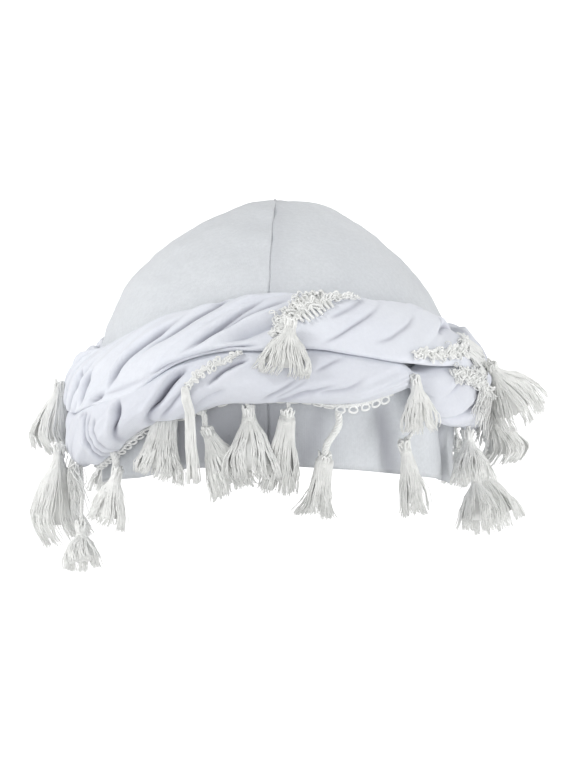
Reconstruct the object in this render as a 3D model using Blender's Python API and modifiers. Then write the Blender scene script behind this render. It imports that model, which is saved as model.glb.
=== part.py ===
"""Turban head wrap: a jersey cap with a centre seam, a roll of two twisted strands of the same jersey
round it, and looped braid with thread tassels along the edges of the rolled cloth.

Metres, +Z up, the front faces -Y and +X is to the right of someone who looks at the front.
The origin is the inside of the cap's top, where the wrap sits on a head.
Angles run round the head in degrees: 0 is the front, 90 the +X side, -90 the -X side and 180 the back.
Drops are millimetres below the cap's top, and an out is millimetres outside the cap's cloth.
"""

import math
from collections import namedtuple

import bmesh
import bpy
from mathutils import Vector
from mathutils.bvhtree import BVHTree

MM = 0.001

# Cap
CLOTH = 1.5  # thickness of the cap's doubled jersey, mm
SEAM_GAP = 0.3  # between the two panels' edges, mm
SEAM_BAND = 3.0  # the flat pressed band along each panel's edge, mm
ROUNDNESS = 2.15  # 2 is an ellipse, more is squarer
CAP_COLUMNS = 20  # steps round one panel
HEM_STEPS = 3  # rows between the last section and the hem

CapSection = namedtuple("CapSection", "drop left right front back")
CAP_SECTIONS = (
    CapSection(0.0, 4.0, 13.0, 12.0, 14.0),
    CapSection(1.8, 13.5, 18.5, 22.0, 24.0),
    CapSection(5.5, 23.0, 27.5, 35.0, 38.0),
    CapSection(12.5, 38.0, 39.0, 53.0, 57.0),
    CapSection(20.0, 50.0, 49.5, 66.0, 70.0),
    CapSection(31.0, 62.0, 61.0, 79.0, 83.0),
    CapSection(44.0, 71.0, 70.5, 88.5, 93.0),
    CapSection(60.0, 78.0, 78.0, 94.5, 100.0),
    CapSection(80.0, 81.0, 81.0, 97.0, 104.0),
    CapSection(128.0, 79.5, 79.5, 96.0, 100.0),
)
HemRow = namedtuple("HemRow", "angle drop")
HEM = (
    HemRow(-180, 126),
    HemRow(-120, 129),
    HemRow(-83, 128),
    HemRow(-40, 120),
    HemRow(-22, 114),
    HemRow(0, 111.5),
    HemRow(23, 114.5),
    HemRow(55, 121.5),
    HemRow(83, 128),
    HemRow(120, 129),
    HemRow(180, 126),
)

# Roll: phase is where the first strand lies as seen in a cut, 0 outside, 90 above and 180 inside.
# Pinch is how far the second strand is drawn together, 0 for not at all.
ROLL_REST = 0.9  # from the cap's cloth to the roll, mm
STRAND_GAP = 0.4  # between the two strands, mm
STRAND_COLUMNS = 12
STRAND_STATIONS = 80
STRAND_SQUARENESS = 2.5
STRAND_WIDTH = 0.97  # of the roll's own width
PINCH_SHARE, PINCH_TUCK = 0.9, 0.5  # how much a full pinch takes off the strand, and how far it tucks in
FOLDS = 4  # folds round a strand
FOLD_TURNS = 4  # turns that the folds make round a strand on their way round the head
FOLD_DEPTH = 0.15  # share of the strand's own radius

RollRow = namedtuple("RollRow", "angle top split bottom out phase pinch")
ROLL = (
    RollRow(-180, 52, 75, 98, 22, -90, 0.0),
    RollRow(-158, 54, 77, 99, 24, -75, 0.0),
    RollRow(-135, 63, 80, 98, 30, 0, 0.0),
    RollRow(-112, 65, 87, 111, 20, 75, 0.0),
    RollRow(-82, 68, 91, 118, 15, 90, 0.0),
    RollRow(-62, 64, 90, 117, 17, 90, 0.0),
    RollRow(-47, 57.5, 84, 111, 20, 90, 0.0),
    RollRow(-30, 46.5, 76, 95, 22, 90, 0.0),
    RollRow(-20, 43, 65, 91, 22, 90, 0.0),
    RollRow(-10, 38.5, 59.5, 84.5, 22, 90, 0.0),
    RollRow(0, 36, 58.5, 83.5, 22, 90, 0.0),
    RollRow(10, 36, 58, 84, 22, 90, 0.0),
    RollRow(20, 37.5, 61, 84.5, 22, 90, 0.0),
    RollRow(29, 39.5, 64, 82, 22, 90, 0.15),
    RollRow(34, 40, 65, 83, 21, 90, 0.45),
    RollRow(38, 41, 66, 86, 19, 90, 0.7),
    RollRow(44, 42, 67, 94, 17, 90, 0.25),
    RollRow(55, 47, 69, 97, 15, 90, 0.0),
    RollRow(66, 55, 74, 99, 14, 90, 0.0),
    RollRow(85, 58, 80, 103, 14.5, 90, 0.0),
    RollRow(108, 57, 81, 105, 18, 102, 0.0),
    RollRow(133, 61, 78, 96, 30, 180, 0.0),
    RollRow(158, 53, 76, 98, 24, 258, 0.0),
    RollRow(180, 52, 75, 98, 22, 270, 0.0),
)

# Braid
BRAID = 1.6  # radius, mm
SEAT = 0.4  # from a braid or a tassel's thread to what carries it, mm
PathRow = namedtuple("PathRow", "angle drop")
BRAID_FRONT = (
    PathRow(23, 40),
    PathRow(18, 39.5),
    PathRow(13, 41),
    PathRow(8, 45),
    PathRow(4, 50),
    PathRow(1, 55),
)
BRAID_LEFT = (PathRow(-16.5, 76), PathRow(-13.5, 71), PathRow(-10, 66.5), PathRow(-5, 62.5))
BRAID_RIGHT = (
    PathRow(33, 63),
    PathRow(40, 64.5),
    PathRow(47, 65.5),
    PathRow(54, 64.5),
    PathRow(60, 61.5),
    PathRow(65, 60),
)
BRAID_SIDE = (
    PathRow(50, 74),
    PathRow(58, 76),
    PathRow(66, 80),
    PathRow(80, 87),
    PathRow(92, 93),
    PathRow(104, 100),
)
BraidRun = namedtuple("BraidRun", "start end out")
BRAID_UNDER = BraidRun(-64, 31, 9.0)
BRAID_BACK = BraidRun(100, 262, 8.0)
BRAID_STEP = 3.0  # from one point of a short braid's line to the next, degrees
LONG_BRAID_STEP = 5.5  # the same under the roll

# Tassels: head and tip are where the bound head and the ends hang. Root is where a long thread starts on the
# roll, and a thread without one comes from the nearest braid or cloth.
LOCKS = 6
HANGER = 0.8  # radius of the thread that a tassel hangs on, mm
KNOT = 2.6  # half width of the bound head, mm
KNOT_LENGTH = 7.0
UNEVEN, LOCK_END = 1.8, 1.6  # how far the ends differ round the skirt and from lock to lock, mm
HOLLOW = 4.0  # depth of the hollow between the ends, mm
SETTLE_STEP = 0.3  # how far a tassel that touches something is moved out at a time, mm
SETTLE_TRIES = 80
THREAD_STOPS = (0.0, 0.25, 0.5, 0.75)  # shares of the way from a long thread's root to the tassel's head
SHORT_THREAD = 4.0  # mm, under which a thread runs straight into the head
Cut = namedtuple("Cut", "share width lock")
HEAD_CUTS = (Cut(0.0, 0.8, 0.0), Cut(0.5, 1.0, 0.1), Cut(1.0, 0.85, 0.15))
SKIRT_CUTS = (Cut(0.3, 0.62, 0.28), Cut(0.65, 0.84, 0.36), Cut(1.0, 1.0, 0.45))
Ring = namedtuple("Ring", "share width depth lock")
Tassel = namedtuple(
    "Tassel", "name head_angle head_drop tip_angle tip_drop out tip_out half_width half_depth root"
)
TASSELS = (
    Tassel("front_knot", 5.0, 49, 3.0, 71, 26, 27, 12.0, 5.0, None),
    Tassel("front_long", -16.5, 94, -17, 118, 19, 13, 3.6, 3.0, PathRow(-16.4, 76.5)),
    Tassel("front_1", -25.5, 99, -28.5, 117, 7, 8, 9.5, 4.0, None),
    Tassel("front_2", -12.5, 96, -9, 122, 9, 11, 8.5, 4.5, None),
    Tassel("front_3", -4.5, 90, -3.5, 116, 9, 8, 10.0, 4.0, None),
    Tassel("front_4", 3.5, 93, 4.5, 121, 11, 8, 6.5, 4.0, None),
    Tassel("front_5", 13.5, 107, 12, 131, 8, 8, 9.5, 5.0, None),
    Tassel("front_6", 35.5, 75, 36.5, 97, 16, 16, 9.5, 5.0, None),
    Tassel("front_7", 35.5, 103, 39, 134, 8, 9, 6.5, 4.5, None),
    Tassel("left_1", -42.5, 116, -46, 140, 9, 12, 9.5, 6.0, None),
    Tassel("left_2", -60, 143, -57, 161, 12, 14, 8.5, 8.5, None),
    Tassel("left_3", -80, 122, -84, 148, 14, 22, 9.0, 9.5, None),
    Tassel("left_4", -93, 86, -95, 114, 19, 27, 7.5, 7.5, None),
    Tassel("right_1", 68, 106, 66, 124, 8, 10, 8.0, 6.0, None),
    Tassel("right_2", 78, 74, 86, 95, 20, 31, 10.0, 9.0, None),
    Tassel("right_3", 89, 98, 90, 118, 20, 30, 9.0, 8.5, None),
    Tassel("right_4", 84, 124, 80, 147, 11, 13, 8.5, 8.0, None),
    Tassel("right_5", 98, 124, 97, 150, 12, 20, 9.0, 9.0, None),
    Tassel("back_1", 118, 113, 118, 134, 10, 12, 8.5, 5.5, None),
    Tassel("back_2", 139, 108, 139, 129, 9, 10, 8.5, 5.0, None),
    Tassel("back_3", 163, 105, 162, 127, 9, 10, 8.5, 5.0, None),
    Tassel("back_4", -171, 105, -172, 127, 9, 10, 8.5, 5.0, None),
    Tassel("back_5", -147, 107, -146, 129, 9, 10, 8.5, 5.0, None),
    Tassel("back_6", -120, 118, -119, 138, 9, 11, 8.5, 5.5, None),
)

Paint = namedtuple("Paint", "name colour roughness")
CAP_JERSEY = Paint("cap_jersey", (0.80, 0.82, 0.85), 0.9)
WRAP_JERSEY = Paint("wrap_jersey", (0.84, 0.85, 0.90), 0.9)
TRIM_BRAID = Paint("trim_braid", (0.84, 0.86, 0.84), 0.7)
TASSEL_THREAD = Paint("tassel_thread", (0.85, 0.87, 0.84), 0.65)


# Small helpers
def clear_scene():
    for obj in list(bpy.data.objects):
        bpy.data.objects.remove(obj)


def material(paint):
    found = bpy.data.materials.get(paint.name)
    if found:
        return found
    made = bpy.data.materials.new(paint.name)
    made.use_nodes = True
    shader = made.node_tree.nodes["Principled BSDF"]
    shader.inputs["Base Color"].default_value = (*paint.colour, 1.0)
    shader.inputs["Roughness"].default_value = paint.roughness
    shader.inputs["Metallic"].default_value = 0.0
    return made


def add_object(name, data, paint, collection):
    obj = bpy.data.objects.new(name, data)
    data.materials.append(material(paint))
    collection.objects.link(obj)
    return obj


def mesh_from(name, points, faces, sharp_degrees=50):
    mesh = bpy.data.meshes.new(name)
    mesh.from_pydata([tuple(p) for p in points], [], faces)
    shape = bmesh.new()
    shape.from_mesh(mesh)
    bmesh.ops.recalc_face_normals(shape, faces=shape.faces)
    shape.to_mesh(mesh)
    shape.free()
    mesh.shade_smooth()
    mesh.set_sharp_from_angle(angle=math.radians(sharp_degrees))
    return mesh


def table_at(rows, key, value, column):
    """The column's value where the key column has this value, straight between rows."""
    low = rows[0]
    for high in rows[1:]:
        if value <= getattr(high, key):
            span = getattr(high, key) - getattr(low, key)
            share = (value - getattr(low, key)) / span if span else 0.0
            share = min(1.0, max(0.0, share))
            return getattr(low, column) * (1 - share) + getattr(high, column) * share
        low = high
    return getattr(low, column)


def smooth_at(rows, value, column):
    """The column's value at this angle of a closed ring of rows, on a curve through them."""
    count = len(rows) - 1
    for i in range(count):
        if value <= rows[i + 1].angle or i == count - 1:
            break
    turn = rows[-1].phase - rows[0].phase if column == "phase" else 0

    def knot(k):
        lap, place = divmod(k, count)
        row = rows[place]
        return row.angle + 360 * lap, getattr(row, column) + turn * lap

    (a0, v0), (a1, v1), (a2, v2), (a3, v3) = (knot(i + k) for k in (-1, 0, 1, 2))
    share = (value - a1) / (a2 - a1)
    slope1 = (v2 - v0) / (a2 - a0) * (a2 - a1)
    slope2 = (v3 - v1) / (a3 - a1) * (a2 - a1)
    s2, s3 = share**2, share**3
    ends = (2 * s3 - 3 * s2 + 1) * v1 + (3 * s2 - 2 * s3) * v2
    return ends + (s3 - 2 * s2 + share) * slope1 + (s3 - s2) * slope2


def between(start, end, share):
    return start + (end - start) * share


def wrapped(angle):
    return (angle + 180) % 360 - 180


def outward(angle):
    a = math.radians(angle)
    return Vector((math.sin(a), -math.cos(a), 0.0))


def cap_radius(angle, drop):
    """From the head's axis to the outside of the cap's cloth, mm."""
    a = math.radians(angle)
    side = "right" if math.sin(a) >= 0 else "left"
    end = "front" if math.cos(a) >= 0 else "back"
    width = table_at(CAP_SECTIONS, "drop", drop, side)
    depth = table_at(CAP_SECTIONS, "drop", drop, end)
    reach = (abs(math.sin(a)) / width) ** ROUNDNESS + (abs(math.cos(a)) / depth) ** ROUNDNESS
    return reach ** (-1 / ROUNDNESS)


def place(angle, drop, out):
    """A point round the head, in metres."""
    point = outward(angle) * (cap_radius(angle, drop) + out)
    point.z = CLOTH - drop
    return point * MM


# Cap: each panel is an open surface between the seam at the front and the seam at the back
def cap_row(side, drop_at):
    """One row of a panel's points, front to back: the seam's edge, its flat band, then the curve."""
    points = []
    for column in range(CAP_COLUMNS + 1):
        angle = 180.0 * column / CAP_COLUMNS
        drop = drop_at(side * angle)
        point = place(side * angle, drop, 0.0)
        if column in (0, CAP_COLUMNS):
            edge, band = point.copy(), point.copy()
            edge.x = side * SEAM_GAP / 2 * MM
            band.x = side * SEAM_BAND * MM
            points += [edge, band] if column == 0 else [band, edge]
        else:
            points.append(point)
    return points


def cap_panel(name, side, collection):
    last = CAP_SECTIONS[-2].drop

    def above_hem(share):
        return lambda angle: last + (table_at(HEM, "angle", angle, "drop") - last) * share

    rows = [cap_row(side, lambda angle, drop=section.drop: drop) for section in CAP_SECTIONS[:-1]]
    rows += [cap_row(side, above_hem(step / HEM_STEPS)) for step in range(1, HEM_STEPS + 1)]
    width = len(rows[0])
    points = [Vector((side * SEAM_GAP / 2 * MM, 0.0, CLOTH * MM))] + [p for row in rows for p in row]
    faces = [(0, 1 + i, 2 + i) for i in range(width - 1)]
    for r in range(len(rows) - 1):
        for here in range(1 + r * width, r * width + width):
            faces.append((here, here + 1, here + 1 + width, here + width))
    mesh = mesh_from(name, points, faces)
    obj = add_object(name, mesh, CAP_JERSEY, collection)
    if mesh.polygons[0].normal.z < 0:
        mesh.flip_normals()
    wall = obj.modifiers.new("cloth", "SOLIDIFY")
    wall.thickness = CLOTH * MM
    wall.offset = -1.0
    return obj


# Roll
def superellipse(turn, squareness):
    c, s = math.cos(turn), math.sin(turn)
    reach = (abs(c) ** squareness + abs(s) ** squareness) ** (-1 / squareness)
    return c * reach, s * reach


def roll_point(angle, across, up):
    """A point of the roll's cut at this angle: across is -1 at the cap to 1 outside, up is -1 to 1."""
    at = {c: smooth_at(ROLL, angle, c) for c in ("top", "split", "bottom", "out")}
    across, up = max(-1.0, across), min(1.0, max(-1.0, up))  # pressed flat against the head
    reach = at["split"] - at["top"] if up > 0 else at["bottom"] - at["split"]
    drop = at["split"] - up * reach
    out = ROLL_REST + (across + 1) / 2 * (at["out"] - ROLL_REST)
    return place(angle, drop, out)


def strand_point(which, angle, turn, own_turn):
    """A point on a strand: turn is its place round the strand, 0 on the side away from the other strand."""
    phase = math.radians(smooth_at(ROLL, angle, "phase") + 180 * which)
    pinch = max(0.0, smooth_at(ROLL, angle, "pinch")) * which
    size = 1 - FOLD_DEPTH * (0.5 + 0.5 * math.cos(FOLDS * own_turn)) - PINCH_SHARE * pinch
    gap = STRAND_GAP / (smooth_at(ROLL, angle, "bottom") - smooth_at(ROLL, angle, "top"))
    along, sideways = superellipse(turn, STRAND_SQUARENESS)
    away = 0.5 + (0.5 - gap) * along * size
    beside = STRAND_WIDTH * sideways * size
    across = math.cos(phase) * away - math.sin(phase) * beside - PINCH_TUCK * pinch
    up = math.sin(phase) * away + math.cos(phase) * beside
    return roll_point(angle, across, up)


def tube_faces(stations, around, closed=False):
    """The side faces between rings of points."""
    faces = []
    for station in range(stations if closed else stations - 1):
        here, there = station * around, (station + 1) % stations * around
        for column in range(around):
            after = (column + 1) % around
            faces.append((here + column, here + after, there + after, there + column))
    return faces


def strand(name, which, collection):
    """A closed loop lofted through its cuts, whose columns of points follow the folds round it."""
    points = []
    for station in range(STRAND_STATIONS):
        angle = -180 + 360.0 * station / STRAND_STATIONS
        turned = math.radians(angle * FOLD_TURNS - smooth_at(ROLL, angle, "phase"))
        for column in range(STRAND_COLUMNS):
            own = 2 * math.pi * column / STRAND_COLUMNS
            points.append(strand_point(which, angle, own + turned, own))
    faces = tube_faces(STRAND_STATIONS, STRAND_COLUMNS, closed=True)
    return add_object(name, mesh_from(name, points, faces), WRAP_JERSEY, collection)


# What later pieces rest on
ROLL_AND_BRAID = slice(2, 10)  # after the two panels and before the tassels, in the order of build()
FAR_OUT = 0.3  # a place outside everything, in metres from the head's axis
LEAST_PUSH = 0.00005  # metres
LINE_PARTS = 4  # parts of a straight run between two points that are kept clear


class Carriers:
    """The surfaces built so far, for later pieces to be seated on and kept clear of."""

    def __init__(self):
        self.trees = []

    def add(self, obj):
        bpy.context.view_layer.update()
        graph = bpy.context.evaluated_depsgraph_get()
        mesh = bpy.data.meshes.new_from_object(obj.evaluated_get(graph))
        corners = [v.co for v in mesh.vertices]
        self.trees.append(BVHTree.FromPolygons(corners, [tuple(p.vertices) for p in mesh.polygons]))
        bpy.data.meshes.remove(mesh)

    def distance(self, point):
        return min(tree.find_nearest(point)[3] for tree in self.trees)

    def nearest(self, point):
        """The nearest place on the roll and the braid."""
        found = [tree.find_nearest(point) for tree in self.trees[ROLL_AND_BRAID]]
        return min(found, key=lambda f: f[3])[0]

    def touched_rings(self, points, faces, around):
        """The rings of a lofted shape whose faces cross any surface."""
        own = BVHTree.FromPolygons([tuple(p) for p in points], faces)
        return {min(pair[0], len(points) - 3) // around for tree in self.trees for pair in own.overlap(tree)}

    def first_hit(self, start, direction):
        hits = [tree.ray_cast(start, direction) for tree in self.trees]
        hits = [h for h in hits if h[0] is not None]
        return min(hits, key=lambda h: h[3])[0] if hits else None

    def outside(self, angle, drop, reach, out=0.0):
        """The innermost point here that is at least out from the cap and reach from every surface."""
        direction = outward(angle)
        start = direction * FAR_OUT
        start.z = (CLOTH - drop) * MM
        hit = self.first_hit(start, -direction)
        least = place(angle, drop, out)
        near_side = hit is not None and hit.dot(direction) > least.xy.length
        point = hit + direction * reach if near_side else least
        return self.pushed(point, direction, reach)

    def pushed(self, point, direction, reach):
        """The point moved this way until it is reach from every surface."""
        for _ in range(SETTLE_TRIES):
            short = reach - self.distance(point)
            if short <= 0:
                break
            point = point + direction * max(short, LEAST_PUSH)
        return point

    def clear_line(self, points, directions, reach):
        """The points moved out until the straight runs between them keep their reach too."""
        for _ in range(SETTLE_TRIES):
            moves = [0.0] * len(points)
            for i in range(len(points) - 1):
                run = [points[i].lerp(points[i + 1], k / LINE_PARTS) for k in range(LINE_PARTS + 1)]
                short = reach - min(self.distance(p) for p in run)
                moves[i] = max(moves[i], short)
                moves[i + 1] = max(moves[i + 1], short)
            if max(moves) <= 0:
                break
            points = [p + d * max(0.0, m) for p, d, m in zip(points, directions, moves)]
        return points


# Braid
def braid_curve(name, points, collection):
    curve = bpy.data.curves.new(name, "CURVE")
    curve.dimensions = "3D"
    curve.bevel_depth = BRAID * MM
    curve.bevel_resolution = 1
    curve.use_fill_caps = True
    line = curve.splines.new("POLY")
    line.points.add(len(points) - 1)
    for spline_point, point in zip(line.points, points):
        spline_point.co = (*point, 1.0)
    return add_object(name, curve, TRIM_BRAID, collection)


def braid_over(name, rows, carriers, collection):
    """A braid laid over the strands along these places."""
    places = []
    for low, high in zip(rows, rows[1:]):
        steps = max(1, round(abs(high.angle - low.angle) / BRAID_STEP))
        for step in range(steps):
            share = step / steps
            places.append((between(low.angle, high.angle, share), between(low.drop, high.drop, share)))
    places.append((rows[-1].angle, rows[-1].drop))
    points = [carriers.outside(angle, drop, (BRAID + SEAT) * MM) for angle, drop in places]
    points = carriers.clear_line(points, [outward(angle) for angle, _ in places], (BRAID + SEAT / 2) * MM)
    return braid_curve(name, points, collection)


def braid_beneath(name, run, carriers, collection):
    """A braid close under the roll, between it and the cap."""
    steps = round((run.end - run.start) / LONG_BRAID_STEP)
    reach, down = (BRAID + SEAT) * MM, Vector((0, 0, -1))
    points = []
    for step in range(steps + 1):
        angle = wrapped(between(run.start, run.end, step / steps))
        lowest = place(angle, smooth_at(ROLL, angle, "bottom"), run.out)
        seat = carriers.first_hit(lowest + down * 3 * reach, -down) + down * reach
        seat.z = min(seat.z, lowest.z + BRAID * MM)
        points.append(carriers.pushed(seat, down, reach))
    points = carriers.clear_line(points, [down] * len(points), (BRAID + SEAT / 2) * MM)
    return braid_curve(name, points, collection)


# Tassels
def tassel_rings(row):
    """Cuts from the bound head down to the ends. Lock is the depth between locks, a share of the radius."""
    knot = KNOT_LENGTH / (row.tip_drop - row.head_drop)
    rings = [Ring(knot * cut.share, KNOT * cut.width, KNOT * cut.width, cut.lock) for cut in HEAD_CUTS]
    for cut in SKIRT_CUTS:
        width, depth = max(KNOT, row.half_width * cut.width), max(KNOT, row.half_depth * cut.width)
        rings.append(Ring(between(knot, 1.0, cut.share), width, depth, cut.lock))
    return rings


def rests_at(row, share):
    """The tassel's angle, drop and out at this share of the way from its head to its ends."""
    return (
        between(row.head_angle, row.tip_angle, share),
        between(row.head_drop, row.tip_drop, share),
        between(row.out, row.tip_out, share),
    )


def tassel(row, carriers, collection):
    """A thread, a bound head and a skirt of locks with ends of unlike lengths, lofted as one body."""
    rings = tassel_rings(row)
    spine = []
    for ring in rings:
        angle, drop, out = rests_at(row, ring.share)
        spine.append(carriers.outside(angle, drop, (ring.depth + SEAT) * MM, out))
    head = spine[0]
    if row.root is None:
        seat = carriers.nearest(head)
        root = seat + (head - seat).normalized() * SEAT * MM
        thread = [root]
        if (head - root).length > SHORT_THREAD * MM:
            thread.append(root.lerp(head, THREAD_STOPS[-1]))
    else:
        thread = []
        for share in THREAD_STOPS:
            angle = between(row.root.angle, row.head_angle, share)
            drop = between(row.root.drop, row.head_drop, share)
            thread.append(carriers.outside(angle, drop, (HANGER + SEAT) * MM, row.out))
    rings = [Ring(0.0, HANGER, HANGER, 0.0)] * len(thread) + rings
    spine = thread + spine
    outward_step = outward(row.head_angle) * SETTLE_STEP * MM
    for _ in range(SETTLE_TRIES):
        touched = carriers.touched_rings(*tassel_shape(row, rings, spine, SEAT / 2), 2 * LOCKS)
        if not touched:
            break
        moved = {i for t in touched for i in (t, t + 1)} - ({0} if row.root is None else set())
        spine = [p + outward_step if i in moved else p for i, p in enumerate(spine)]
    points, faces = tassel_shape(row, rings, spine, 0.0)
    return add_object("tassel_" + row.name, mesh_from(row.name, points, faces), TASSEL_THREAD, collection)


def tassel_shape(row, rings, spine, spare):
    """The tassel's points and faces, with spare millimetres added to every radius."""
    points, around = [], 2 * LOCKS
    side = outward(row.head_angle + 90)
    for i, (centre, ring) in enumerate(zip(spine, rings)):
        along = (spine[min(i + 1, len(spine) - 1)] - spine[max(i - 1, 0)]).normalized()
        wide = (side - along * side.dot(along)).normalized()
        deep = along.cross(wide)
        for column in range(around):
            turn = 2 * math.pi * column / around
            ridge = 1.0 if column % 2 == 0 else 1.0 - ring.lock
            sideways = wide * math.cos(turn) * (ring.width * ridge + spare)
            point = centre + (sideways + deep * math.sin(turn) * (ring.depth * ridge + spare)) * MM
            if i == len(spine) - 1:
                lock_end = -LOCK_END if column % 2 else LOCK_END
                point += along * (UNEVEN * math.cos(2 * turn + row.head_angle) + lock_end) * MM
            points.append(point)
    faces = tube_faces(len(spine), around)
    last = (len(spine) - 1) * around
    points += [spine[0], spine[-1] - (spine[-1] - spine[-2]).normalized() * HOLLOW * MM]
    top, low = len(points) - 2, len(points) - 1
    faces += [(top, (c + 1) % around, c) for c in range(around)]
    faces += [(low, last + c, last + (c + 1) % around) for c in range(around)]
    return points, faces


def build():
    clear_scene()
    collection = bpy.data.collections.new("turban_head_wrap")
    bpy.context.scene.collection.children.link(collection)
    carriers = Carriers()
    for name, side in (("crown_panel_left", -1), ("crown_panel_right", 1)):
        carriers.add(cap_panel(name, side, collection))
    for which, name in enumerate(("strand_upper", "strand_lower")):
        carriers.add(strand(name, which, collection))
    over = {"front": BRAID_FRONT, "left": BRAID_LEFT, "right": BRAID_RIGHT, "side": BRAID_SIDE}
    for name, rows in over.items():
        carriers.add(braid_over("braid_" + name, rows, carriers, collection))
    for name, run in (("braid_under", BRAID_UNDER), ("braid_back", BRAID_BACK)):
        carriers.add(braid_beneath(name, run, carriers, collection))
    for row in TASSELS:
        carriers.add(tassel(row, carriers, collection))


build()
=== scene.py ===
"""Looks of the turban head wrap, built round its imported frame.

Metres, +Z up, the front faces -Y. Angles run round the head in degrees: 0 is the front, 90 the +X side and
-90 the -X side. Drops are millimetres below the cap's top, and an out is millimetres outside the cap's cloth.
"""

import math
from collections import namedtuple

import bpy
import numpy as np
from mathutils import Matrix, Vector
from mathutils.bvhtree import BVHTree


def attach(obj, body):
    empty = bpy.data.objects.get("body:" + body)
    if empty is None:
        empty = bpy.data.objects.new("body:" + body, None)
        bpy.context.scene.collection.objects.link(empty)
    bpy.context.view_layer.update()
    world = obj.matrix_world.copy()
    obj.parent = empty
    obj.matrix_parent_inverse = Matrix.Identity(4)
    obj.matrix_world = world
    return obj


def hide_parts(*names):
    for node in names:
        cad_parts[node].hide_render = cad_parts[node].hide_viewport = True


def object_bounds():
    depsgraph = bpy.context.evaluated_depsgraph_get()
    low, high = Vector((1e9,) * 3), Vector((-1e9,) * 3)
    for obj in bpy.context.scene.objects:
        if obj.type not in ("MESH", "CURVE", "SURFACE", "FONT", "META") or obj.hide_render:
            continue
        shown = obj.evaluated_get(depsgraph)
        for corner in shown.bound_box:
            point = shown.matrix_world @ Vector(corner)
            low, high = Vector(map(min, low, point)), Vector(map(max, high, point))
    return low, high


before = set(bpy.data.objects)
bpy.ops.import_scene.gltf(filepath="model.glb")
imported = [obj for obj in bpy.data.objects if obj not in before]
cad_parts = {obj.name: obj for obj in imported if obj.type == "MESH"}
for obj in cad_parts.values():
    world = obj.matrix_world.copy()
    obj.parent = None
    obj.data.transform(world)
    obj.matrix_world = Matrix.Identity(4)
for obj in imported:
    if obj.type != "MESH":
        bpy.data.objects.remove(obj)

CAD_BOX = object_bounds()
MM = 0.001
RNG = np.random.default_rng(7)


def table(columns, *rows, **settings):
    """Rows with named columns."""
    row_kind = namedtuple("Row", columns, **settings)
    return tuple(row_kind(*row) for row in rows)


# The source's own figures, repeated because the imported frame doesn't hold them
CLOTH = 1.5
ROUNDNESS = 2.15
CAP_SECTIONS = table(
    "drop left right front back",
    (0.0, 0.0, 0.0, 0.0, 0.0),
    (0.25, 5.0, 11.0, 11.5, 13.0),
    (1.8, 13.5, 18.5, 22.0, 24.0),
    (5.5, 23.0, 27.5, 35.0, 38.0),
    (12.5, 38.0, 39.0, 53.0, 57.0),
    (20.0, 50.0, 49.5, 66.0, 70.0),
    (31.0, 62.0, 61.0, 79.0, 83.0),
    (44.0, 71.0, 70.5, 88.5, 93.0),
    (60.0, 78.0, 78.0, 94.5, 100.0),
    (80.0, 81.0, 81.0, 97.0, 104.0),
    (128.0, 79.5, 79.5, 96.0, 100.0),
)
HEM = table(
    "angle drop",
    *((-180, 126), (-120, 129), (-83, 128), (-40, 120), (-22, 114), (0, 111.5)),
    *((23, 114.5), (55, 121.5), (83, 128), (120, 129), (180, 126)),
)

ROLL_REST = 0.9
ROLL = table(
    "angle top split bottom out phase pinch",
    (-180, 52, 75, 98, 22, -90),
    (-158, 54, 77, 99, 24, -75),
    (-135, 63, 80, 98, 30, 0),
    (-112, 65, 87, 111, 20, 75),
    (-82, 68, 91, 118, 15),
    (-62, 64, 90, 117, 17),
    (-47, 57.5, 84, 111, 20),
    (-30, 46.5, 76, 95, 22),
    (-20, 43, 65, 91, 22),
    (-10, 38.5, 59.5, 84.5, 22),
    (0, 36, 58.5, 83.5, 22),
    (10, 36, 58, 84, 22),
    (20, 37.5, 61, 84.5, 22),
    (29, 39.5, 64, 82, 22, 90, 0.15),
    (34, 40, 65, 83, 21, 90, 0.45),
    (38, 41, 66, 86, 19, 90, 0.7),
    (44, 42, 67, 94, 17, 90, 0.25),
    (55, 47, 69, 97, 15),
    (66, 55, 74, 99, 14),
    (85, 58, 80, 103, 14.5),
    (108, 57, 81, 105, 18, 102),
    (133, 61, 78, 96, 30, 180),
    (158, 53, 76, 98, 24, 258),
    (180, 52, 75, 98, 22, 270),
    defaults=(90, 0.0),
)
FOLD_TURNS = 4
PINCH_SHARE, PINCH_TUCK = 0.9, 0.5

# Braids on the roll: angles and drops along their middle lines
BRAIDS = {
    "braid_front": ((23, 40), (18, 39.5), (13, 41), (8, 45), (4, 50), (1, 55)),
    "braid_left": ((-16.5, 76), (-13.5, 71), (-10, 66.5), (-5, 62.5)),
    "braid_right": ((33, 63), (40, 64.5), (47, 65.5), (54, 64.5), (60, 61.5), (65, 60)),
    "braid_side": ((50, 74), (58, 76), (66, 80), (80, 87), (92, 93), (104, 100)),
}
# Braids under the roll: their first and last angle and their out
BRAID_RUNS = {"braid_under": (-64, 31, 9.0), "braid_back": (100, 262, 8.0)}

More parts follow.
